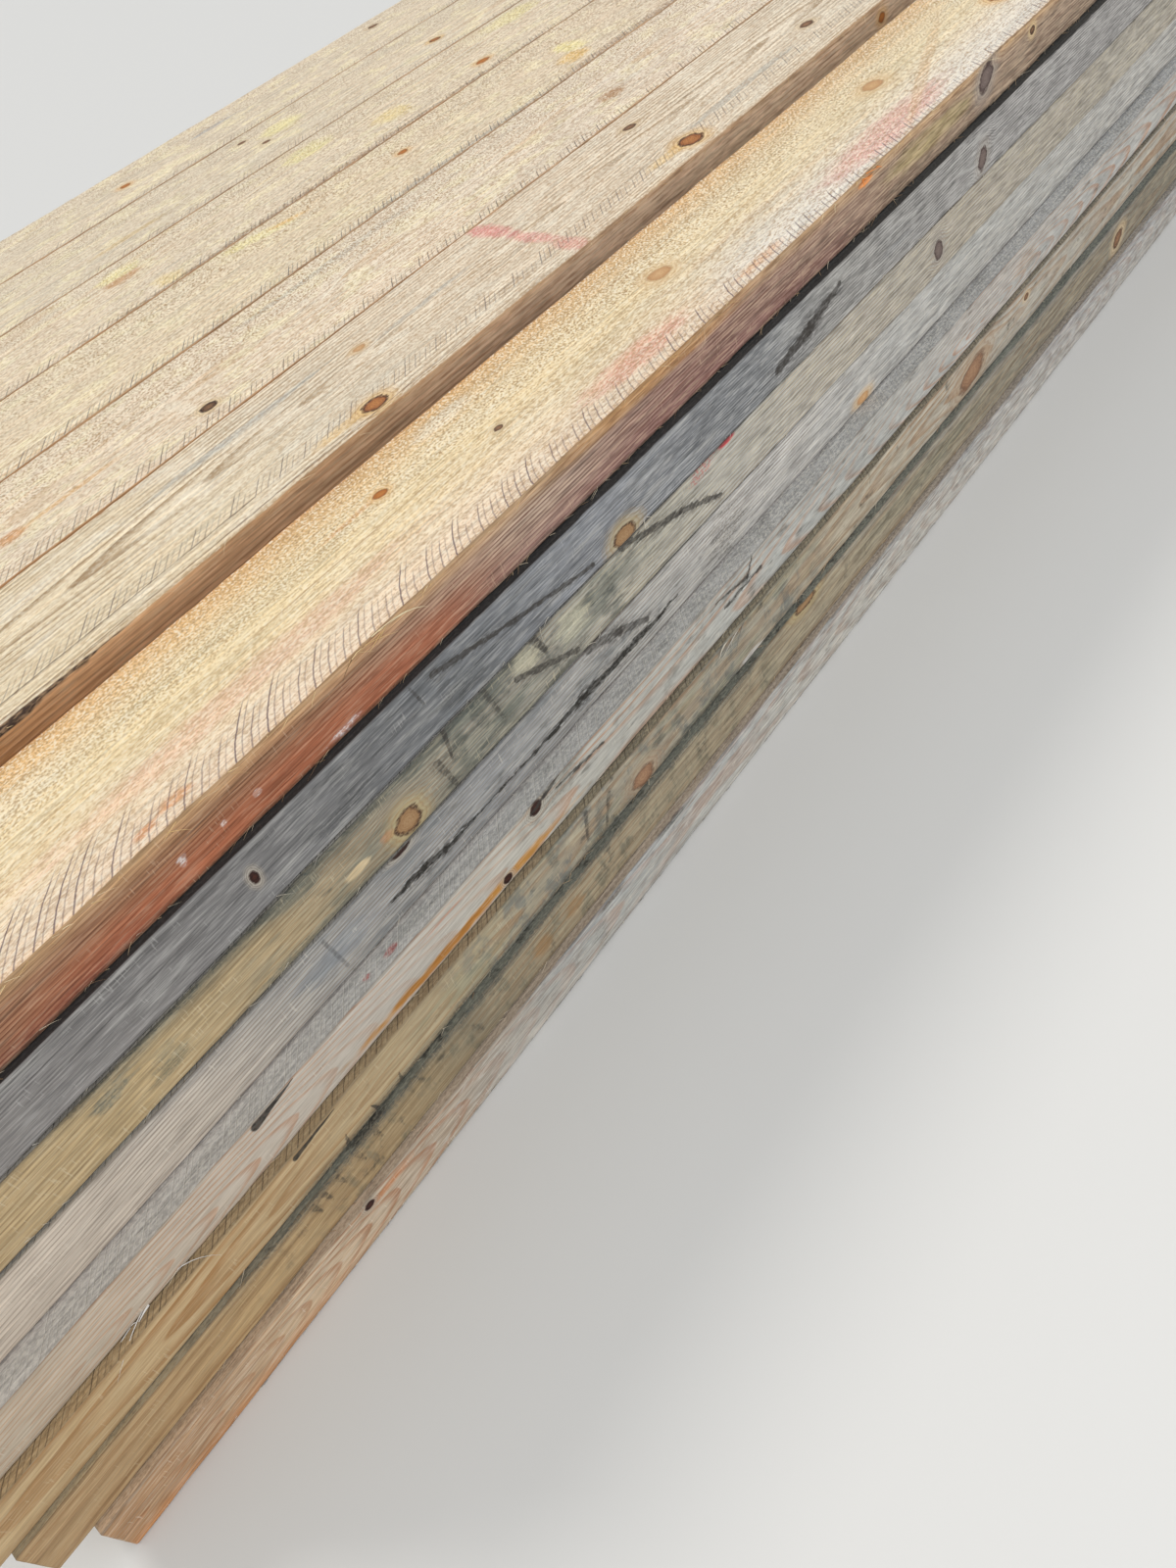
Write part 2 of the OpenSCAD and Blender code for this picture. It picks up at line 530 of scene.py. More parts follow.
    def scratches(self, colour: Value) -> Value:
        """Saw scratches on lines of constant along less slanted across, each of its own length."""
        hatch = self.finish.hatch
        shade = self.shade
        lean = self.across * hatch.slant + self.across * self.across * hatch.bend
        count = (self.x - lean + self.ragged * 0.0022) / hatch.pitch
        cell = shade.node("ShaderNodeTexWhiteNoise", {"W": count.math("FLOOR")}, noise_dimensions="1D")
        fade = self.seen.rise(-1.35, -0.3)
        length = fade * (hatch.far_length - hatch.near_length) + hatch.near_length
        from_start = self.across - hatch.offset
        reach = (from_start / (length * (cell * 0.5 + 0.6))).rise(1.1, 0.75)
        if hatch.offset:
            reach = reach * from_start.rise(-0.003, 0.001)
        turn = count.math("FRACT")
        thin = turn.rise(0.02, 0.08) * turn.rise(0.18, 0.1)
        twin = turn.rise(0.46, 0.51) * turn.rise(0.60, 0.54) * 0.55
        line = (thin + twin) * reach * (cell * 0.5 + 0.5)
        self.relief(line * -0.35)
        return shade.mix(colour, hatch.tint, line * hatch.strength)

    def cracked(self, colour: Value) -> Value:
        """Dark lines: distance from the straight stretch between two places, jagged by noise."""
        jag = self.shade.noise(self.place, (70.0, 330.0, 330.0), 3.0, 0.6) - 0.5
        torn = self.shade.noise(self.place, (210.0, 420.0, 420.0), 2.0, 0.6).rise(0.42, 0.58)
        for crack in self.finish.cracks:
            run = crack.stop[0] - crack.start[0]
            rise = crack.stop[1] - crack.start[1]
            size = run * run + rise * rise
            from_x = self.seen - crack.start[0]
            from_side = self.side - crack.start[1] + jag * (crack.jagged * 2.0)
            share = ((from_x * run + from_side * rise) / size).math("MINIMUM", 1.0).math("MAXIMUM", 0.0)
            off_x = from_x - share * run
            off_side = from_side - share * rise
            distance = (off_x * off_x + off_side * off_side).math("SQRT")
            if crack.end_width is None:
                mask = distance.rise(crack.width, crack.width * 0.35)
            else:
                width = share * (crack.end_width - crack.width) + (crack.width + 0.00001)
                distance = distance / width
                mask = distance.rise(1.0, 0.65)
            if crack.broken:
                mask = mask * (torn * crack.broken + (1.0 - crack.broken))
            if crack.smudge:
                around = distance.rise(3.0, 0.8) * torn
                colour = self.shade.mix(colour, crack.tint, around * crack.smudge)
            colour = self.shade.mix(colour, crack.tint, mask * crack.strength)
        return colour

    def long_grain(self) -> bpy.types.Material:
        """Builds the finish of a wide face or an edge."""
        finish, shade = self.finish, self.shade
        distances = [self.oval(k.along, k.across, k.long, k.wide, k.tilt) for k in finish.knots]
        spread: Number = 0.0
        for knot, distance in zip(finish.knots, distances):
            spread = (self.side - knot.across) * distance.rise(3.6, 0.3) * 0.85 + spread
        if isinstance(spread, float):
            spread = self.side * 0.0
        late, _ = self.rings(spread)
        drift = shade.noise(self.place, (3.0, 16.0, 16.0), 2.0)
        streak = shade.noise(self.place, (5.0, 380.0, 380.0), 3.0, 0.6)
        hair = shade.noise(self.place, (20.0, 700.0, 700.0), 2.0, 0.65)
        colour = shade.along(self.seen + (drift - 0.5) * 0.2, finish.passage)
        depth = late * (drift.rise(0.25, 0.7) * 0.8 + 0.2) * finish.late_strength
        colour = shade.mix(colour, finish.late, depth)
        colour = self.patched(colour)
        wide_streak = streak.rise(0.34, 0.66) - 0.5
        bright = wide_streak * (3.2 * finish.fibre) + (hair - 0.5) * (10.0 * finish.fibre)
        cloudy = self.far * finish.weather + finish.cloudy
        bright = bright + (drift - 0.5) * 0.3 + self.ragged * cloudy + 1.0
        colour = shade.scaled(colour, bright)
        thin = hair.rise(0.54, 0.64) * streak.rise(0.36, 0.54)
        colour = shade.mix(colour, finish.pit, thin * finish.lines)
        colour = self.fuzzed(colour)
        self.relief((streak - 0.5) * 0.32)
        if finish.ripple:
            wave = ((self.x - self.across) * (math.tau / 0.0098)).math("SINE")
            self.relief(wave * (0.04 * finish.ripple))
        if finish.hatch:
            colour = self.scratches(colour)
        # Where the two saws met: a shallow groove in the relief, with a thin dark line along it that is
        # partly darker fibres and partly the step's painted shadow
        if finish.mid_line is not None:
            away = (self.side - finish.mid_line + (drift - 0.5) * 0.006).math("ABSOLUTE")
            line = away.rise(0.0012, 0.0002)
            self.relief(line * -0.2)
            colour = shade.mix(colour, finish.pit, line * streak.rise(0.45, 0.6) * 0.7)
        colour = self.knots(colour, distances)
        if finish.cracks:
            colour = self.cracked(colour)
        if finish.arris_wear:
            near = self.across.math("MINIMUM", self.board_width - self.across)
            if finish.part is Part.EDGE:
                near = self.up.math("MINIMUM", self.thick - self.up)
            near = near + self.ragged * 0.0022
            colour = shade.mix(colour, finish.arris_tint, near.rise(0.0026, 0.0) * finish.arris_wear)
        colour = self.barked(colour)
        return shade.finish(colour, 0.86 - late * 0.08, self.height)

    def fuzzed(self, colour: Value) -> Value:
        """Raises the torn wood: crumbs where the saw left them, lying fibres and upright hairs, whose pale
        and dark specks are partly the fibres' own colour and partly their painted highlights and shadows.
        """
        finish, shade = self.finish, self.shade
        length = 45.0 if finish.part is Part.EDGE else 260.0
        rough = shade.noise(self.place, (length, 640.0, 640.0), 2.0, 0.7)
        amount = (self.far * finish.weather + 1.0) * finish.fuzz
        if finish.crumbs:
            grain = 1.0 / finish.crumb_size
            crumb = shade.noise(self.place, (grain * 0.8, grain, grain), 2.0, 0.6)
            heaped = self.side.rise(*finish.crumbs)
            rough = crumb * heaped + rough * (1.0 - heaped)
            amount = amount * (heaped * 0.35 + 0.9)
        # Pale and dark specks from the same noise as the relief: partly the torn fibres' own colour, partly
        # their painted highlights and shadows
        colour = shade.mix(colour, finish.pale, rough.rise(0.50, 0.64) * amount * 0.65)
        colour = shade.mix(colour, finish.pit, rough.rise(0.50, 0.36) * amount * 0.7)
        self.relief((rough - 0.5) * amount * 0.9)
        if finish.hairs:
            lean = self.x if finish.part is Part.EDGE else self.x - self.across
            upright = shade.noise(shade.join(lean, self.side, self.phase), (800.0, 85.0, 3.0), 1.0)
            patchy = shade.noise(self.place, (24.0, 70.0, 70.0), 1.0).rise(0.48, 0.66)
            hairs = upright.rise(0.63, 0.71) * patchy * finish.hairs
            colour = shade.mix(colour, finish.pale, hairs)
        return colour

    def barked(self, colour: Value) -> Value:
        """Covers the wane with what is left of the bark: dark, speckled and rough."""
        shade = self.shade
        bark = shade.node("ShaderNodeAttribute", output=2, attribute_name="bark")
        start, stop = self.finish.bark_stretch
        bark = bark * (self.seen + self.ragged * 0.04).rise(stop, start)
        flakes = shade.noise(self.place, (130.0, 500.0, 500.0), 2.0, 0.7)
        skin = shade.mix(paint(74, 58, 48), paint(150, 122, 94), flakes.rise(0.42, 0.62))
        self.relief(bark * (flakes - 0.5) * 1.2)
        edge = (bark + self.ragged * 0.7).rise(0.35, 0.65)
        return shade.mix(colour, skin, edge)

    def end_grain(self) -> bpy.types.Material:
        """Builds a cross-cut end: rings round the heart, drying checks towards it, saw marks."""
        finish, shade = self.finish, self.shade
        late, radius = self.rings(self.side * 0.0)
        flat = self.across - self.pith_across
        tall = self.up - self.pith_up
        angle = flat.math("ARCTAN2", tall)
        spokes = shade.noise(shade.join(angle * 14.0, radius * 16.0, self.phase), (1.0, 1.0, 1.0), 2.0)
        checks = spokes.rise(0.63, 0.68)
        drift = shade.noise(self.place, (30.0, 30.0, 30.0), 3.0)
        saw = shade.noise(shade.join(self.across * 90.0 + self.up * 60.0, self.up * 9.0,
                          self.phase), (9.0, 1.0, 1.0), 2.0)
        colour = shade.mix(finish.passage[0][1], finish.passage[-1][1], drift.rise(0.35, 0.65))
        colour = shade.mix(colour, finish.late, late * finish.late_strength)
        colour = shade.scaled(colour, (saw - 0.5) * 0.24 + (self.grains - 0.5) * 0.3 + 1.0)
        colour = shade.mix(colour, paint(64, 50, 40), checks * 0.75)
        near = self.across.math("MINIMUM", self.board_width - self.across)
        near = near.math("MINIMUM", self.up).math("MINIMUM", self.thick - self.up)
        worn = (near + self.ragged * 0.004).rise(0.003, 0.0)
        colour = shade.mix(colour, finish.arris_tint, worn * finish.arris_wear)
        self.relief(late * 0.12 - checks * 0.6 + (saw - 0.5) * 0.3 + (self.grains - 0.5) * 0.3)
        colour = self.barked(colour)
        return shade.finish(colour, 0.9, self.height)


BLUE_STAIN = paint(178, 178, 172)
MOULD = paint(58, 54, 50)


def top_finishes() -> Tuple[WoodFinish, ...]:
    """The faces of the top course, from the pushed-out right-hand board to the left."""
    shared = {"part": Part.FACE, "ripple": 1.0}
    chalk = Mottle(paint(250, 236, 194), 0.65, 0.42, length=22.0, fine=40.0)
    pushed_out = WoodFinish(
        "pushed_out_board_face", passage=((-1.5, paint(242, 218, 172)), (-1.1, paint(238, 216, 170)),
        (-0.7, paint(232, 212, 170)), (-0.2, paint(234, 217, 179))),
        late_strength=0.5, early=0.4, pith=Pith(-0.3, -0.09, 0.02), fuzz=0.85, hairs=0.3,
        crumbs=(0.078, 0.098), mid_line=0.079, cloudy=0.12,
        hatch=Hatch(0.040, 0.016, 0.0125, 0.6, 0.9, paint(110, 90, 96), bend=9.0),
        knots=(Knot(-0.905, 0.1059, 0.0058, 0.0042, KnotKind.ORANGE),
               Knot(-0.815, 0.0730, 0.0038, 0.0026, KnotKind.BROWN),
               Knot(-0.602, 0.0848, 0.011, 0.008, KnotKind.PALE),
               Knot(-0.260, 0.087, 0.013, 0.008, KnotKind.PALE),
               Knot(-0.060, 0.060, 0.012, 0.009, KnotKind.ORANGE)),
        bands=(Band(0.0, 0.085, paint(233, 209, 192), 0.65),
               Band(0.0, 0.085, paint(231, 230, 224), 0.75, -0.60, 2.0),
               Band(0.152, 0.100, paint(226, 170, 100), 0.9, grainy=0.2),
               Band(0.152, 0.143, paint(196, 126, 66), 0.6, -1.45, -0.25),
               Band(0.0, 0.008, paint(216, 166, 112), 0.5, grainy=0.5)),
        patches=(Patch(-0.710, 0.0270, 0.062, 0.014, paint(220, 134, 116), 0.75, grainy=0.5),
                 Patch(-0.350, 0.0240, 0.105, 0.019, paint(218, 130, 120), 0.8, grainy=0.5),
                 Patch(-1.080, 0.0490, 0.160, 0.012, paint(224, 164, 140), 0.5, grainy=0.4),
                 Patch(-1.158, 0.0146, 0.013, 0.005, paint(222, 150, 92), 0.7),
                 Patch(-1.181, 0.0108, 0.009, 0.004, paint(218, 140, 84), 0.7),
                 Patch(-0.569, 0.012, 0.035, 0.006, paint(216, 150, 92), 0.6),
                 Patch(-0.935, 0.1060, 0.030, 0.0022, paint(206, 146, 84), 0.7),
                 Patch(-0.817, 0.1270, 0.035, 0.009, paint(250, 240, 218), 0.75, grainy=0.5),
                 Patch(-0.222, 0.055, 0.150, 0.006, paint(216, 178, 132), 0.5, tilt=0.37),
                 Patch(-1.290, 0.110, 0.130, 0.012, paint(243, 228, 196), 0.6),
                 Patch(-0.480, 0.060, 0.170, 0.004, paint(208, 182, 150), 0.5)),
        mottles=(Mottle(paint(250, 236, 204), 0.3, 0.4, length=14.0, fine=60.0),), **shared)
    second = WoodFinish(
        "second_board_face", passage=((-1.5, paint(236, 218, 182)), (-1.0, paint(236, 218, 186)),
        (-0.84, paint(232, 217, 193)), (-0.6, paint(235, 216, 191)), (0.1, paint(236, 223, 202))),
        late=paint(150, 122, 88), late_strength=0.95, early=0.3, ring=0.0048, wave=0.024,
        pith=Pith(-0.62, 0.085, 0.05, 1.9), fuzz=0.6, lines=0.5, cloudy=0.25,
        hatch=Hatch(0.022, 0.018, 0.0125, 1.0, 0.8, paint(110, 100, 100), 0.0225),
        knots=(Knot(-0.816, 0.0175, 0.0115, 0.0085, KnotKind.RINGED),
               Knot(-0.369, 0.0263, 0.0130, 0.0105, KnotKind.RINGED),
               Knot(-0.344, 0.1193, 0.008, 0.005, KnotKind.BROWN),
               Knot(-0.754, 0.1027, 0.006, 0.004, KnotKind.PALE),
               Knot(-0.10, 0.060, 0.009, 0.006, KnotKind.BROWN)),
        bands=(Band(0.0, 0.008, paint(178, 138, 92), 0.6, grainy=0.4),),
        patches=(Patch(-0.557, 0.126, 0.012, 0.034, paint(226, 104, 116), 0.9, 0.7, 0.5),
                 Patch(-0.561, 0.068, 0.010, 0.030, paint(226, 118, 124), 0.8, 0.7, 0.5),
                 Patch(-0.566, 0.018, 0.011, 0.022, paint(222, 124, 122), 0.75, 0.7, 0.5),
                 Patch(-0.877, 0.116, 0.10, 0.005, BLUE_STAIN, 0.7),
                 Patch(-0.258, 0.043, 0.11, 0.006, BLUE_STAIN, 0.6),
                 Patch(-0.679, 0.096, 0.07, 0.004, BLUE_STAIN, 0.55),
                 Patch(-1.060, 0.118, 0.06, 0.010, paint(246, 236, 214), 0.6, 0.8, 0.5),
                 Patch(-0.960, 0.052, 0.05, 0.008, paint(246, 236, 214), 0.6, 0.8, 0.5),
                 Patch(-0.395, 0.030, 0.040, 0.008, paint(236, 198, 128), 0.6),
                 Patch(-0.850, 0.020, 0.035, 0.007, paint(230, 192, 128), 0.6)),
        mottles=(Mottle(paint(244, 234, 214), 0.5, 0.4, length=14.0, fine=50.0),),
        cracks=(Crack((-1.21, 0.0225), (-0.94, 0.0225), 0.0007, 0.0012, paint(92, 72, 58), 0.85),
                Crack((-1.30, 0.0070), (-0.70, 0.0075), 0.0008, 0.0016, paint(112, 82, 60), 0.75)),
        **shared)
    third = WoodFinish(
        "third_board_face", passage=((-1.4, paint(238, 220, 196)), (-0.9, paint(236, 217, 192)),
        (-0.3, paint(235, 219, 199)), (0.2, paint(235, 221, 204))),
        late_strength=0.6, early=0.4, taper=0.016, fuzz=0.95, lines=0.4, hairs=0.3, mid_line=0.077,
        crumbs=(0.074, 0.096),
        hatch=Hatch(0.026, 0.016, 0.0125, 0.8, 0.9, paint(96, 84, 80), bend=4.0),
        knots=(Knot(-0.861, 0.0308, 0.0080, 0.0055, KnotKind.BLACK),),
        patches=(Patch(-1.049, 0.0545, 0.016, 0.009, paint(206, 140, 76), 0.8),
                 Patch(-0.990, 0.0555, 0.050, 0.004, paint(226, 176, 112), 0.7),
                 Patch(-0.262, 0.051, 0.022, 0.012, paint(176, 128, 86), 0.9, 0.3),
                 Patch(-0.210, 0.056, 0.022, 0.0024, paint(250, 242, 224), 0.8),
                 Patch(-0.870, 0.060, 0.008, 0.030, paint(248, 238, 216), 0.6, 0.6, 0.6),
                 Patch(-0.62, 0.122, 0.14, 0.006, BLUE_STAIN, 0.5)),
        mottles=(chalk,),
        cracks=(Crack((-0.69, 0.068), (-0.63, 0.090), 0.0012, 0.0016, paint(250, 240, 218), 0.85),),
        **shared)
    fourth = WoodFinish(
        "fourth_board_face", passage=((-1.2, paint(237, 219, 190)), (-0.5, paint(236, 218, 188)),
        (0.2, paint(234, 217, 195))),
        late_strength=0.6, early=0.4, taper=0.010, fuzz=0.95, lines=0.4, hairs=0.3, mid_line=0.079,
        crumbs=(0.076, 0.10),
        hatch=Hatch(0.026, 0.018, 0.0125, 0.8, 0.95, paint(88, 86, 92), bend=4.0),
        knots=(Knot(-0.40, 0.095, 0.007, 0.005, KnotKind.ORANGE),),
        # Dark stripe along the joint with the board on the right: painted shadow of the gap
        bands=(Band(0.0, 0.005, paint(88, 74, 62), 0.85, grainy=0.2),),
        patches=(Patch(-0.600, 0.128, 0.050, 0.013, paint(255, 237, 166), 0.95, 0.8, 0.2, tilt=-0.3),
                 Patch(-0.560, 0.118, 0.026, 0.006, paint(240, 190, 96), 0.8, 0.8, tilt=-0.3),
                 Patch(-0.150, 0.040, 0.024, 0.018, paint(240, 190, 88), 0.9, 0.8, 0.2),
                 Patch(-0.120, 0.072, 0.020, 0.024, paint(255, 235, 160), 0.95, 0.9, 0.2),
                 Patch(-0.090, 0.006, 0.16, 0.009, paint(134, 92, 70), 0.7, 0.6, 0.5),
                 Patch(-0.40, 0.006, 0.16, 0.005, paint(120, 128, 136), 0.6, grainy=0.4)),
        mottles=(chalk,), **shared)
    fifth = WoodFinish(
        "fifth_board_face", passage=((-1.2, paint(235, 219, 195)), (-0.4, paint(235, 219, 194)),
        (0.3, paint(234, 220, 198))),
        late_strength=0.6, early=0.4, taper=0.018, fuzz=0.95, lines=0.4, hairs=0.3, mid_line=0.094,
        crumbs=(0.09, 0.11),
        hatch=Hatch(0.024, 0.016, 0.0125, 0.8, 0.9, paint(96, 84, 80), bend=4.0),
        knots=(Knot(-0.15, 0.040, 0.010, 0.006, KnotKind.ORANGE),),
        # Dark stripe along the joint with the board on the right: painted shadow of the gap
        bands=(Band(0.0, 0.004, paint(96, 78, 64), 0.8, grainy=0.2),),
        patches=(Patch(-0.700, 0.096, 0.026, 0.012, paint(198, 146, 96), 0.85),
                 Patch(-0.693, 0.116, 0.030, 0.014, paint(255, 238, 168), 0.95, 0.9, 0.2),
                 Patch(-0.690, 0.020, 0.018, 0.018, paint(250, 224, 156), 0.8, 0.9, 0.2),
                 Patch(-0.400, 0.115, 0.040, 0.022, paint(255, 237, 166), 0.95, 0.9, 0.2),
                 Patch(0.002, 0.122, 0.060, 0.020, paint(255, 237, 168), 0.95, 0.9, 0.2),
                 Patch(-0.45, 0.004, 0.34, 0.006, paint(124, 80, 54), 0.85, 0.7, 0.5),
                 Patch(-0.30, 0.060, 0.030, 0.024, paint(248, 222, 146), 0.8, 0.9, 0.2)),
        mottles=(chalk,), **shared)
    sixth = WoodFinish(
        "sixth_board_face", passage=((-1.1, paint(228, 214, 190)), (0.3, paint(227, 213, 190))),
        late_strength=0.5, early=0.4, taper=0.009, fuzz=0.7, lines=0.4, hairs=0.3, mid_line=0.083,
        crumbs=(0.08, 0.10),
        hatch=Hatch(0.022, 0.018, 0.0125, 0.8, 0.7, bend=4.0),
        knots=(Knot(-0.376, 0.072, 0.006, 0.004, KnotKind.BROWN),
               Knot(-0.379, 0.121, 0.006, 0.004, KnotKind.BROWN),
               Knot(-0.066, 0.056, 0.009, 0.006, KnotKind.RINGED)),
        # Dark stripe along the joint with the board on the right: painted shadow of the gap
        bands=(Band(0.0, 0.004, paint(90, 76, 64), 0.8, grainy=0.2),),
        patches=(Patch(-0.334, 0.095, 0.034, 0.022, paint(255, 238, 172), 0.95, 0.9, 0.2),
                 Patch(-0.62, 0.05, 0.06, 0.007, paint(236, 198, 120), 0.5)),
        mottles=(chalk,), **shared)
    seventh = WoodFinish(
        "seventh_board_face", passage=((-1.1, paint(229, 215, 191)), (0.3, paint(227, 214, 192))),
        late_strength=0.5, early=0.4, taper=0.015, fuzz=0.7, lines=0.4, hairs=0.3,
        crumbs=(0.08, 0.10),
        hatch=Hatch(0.024, 0.018, 0.0125, 0.8, 0.7, bend=4.0),
        knots=(Knot(-0.502, 0.074, 0.008, 0.006, KnotKind.ORANGE),
               Knot(0.007, 0.110, 0.009, 0.006, KnotKind.BROWN)),
        patches=(Patch(-0.328, 0.096, 0.05, 0.006, paint(150, 156, 168), 0.6),),
        mottles=(chalk,), **shared)
    return pushed_out, second, third, fourth, fifth, sixth, seventh


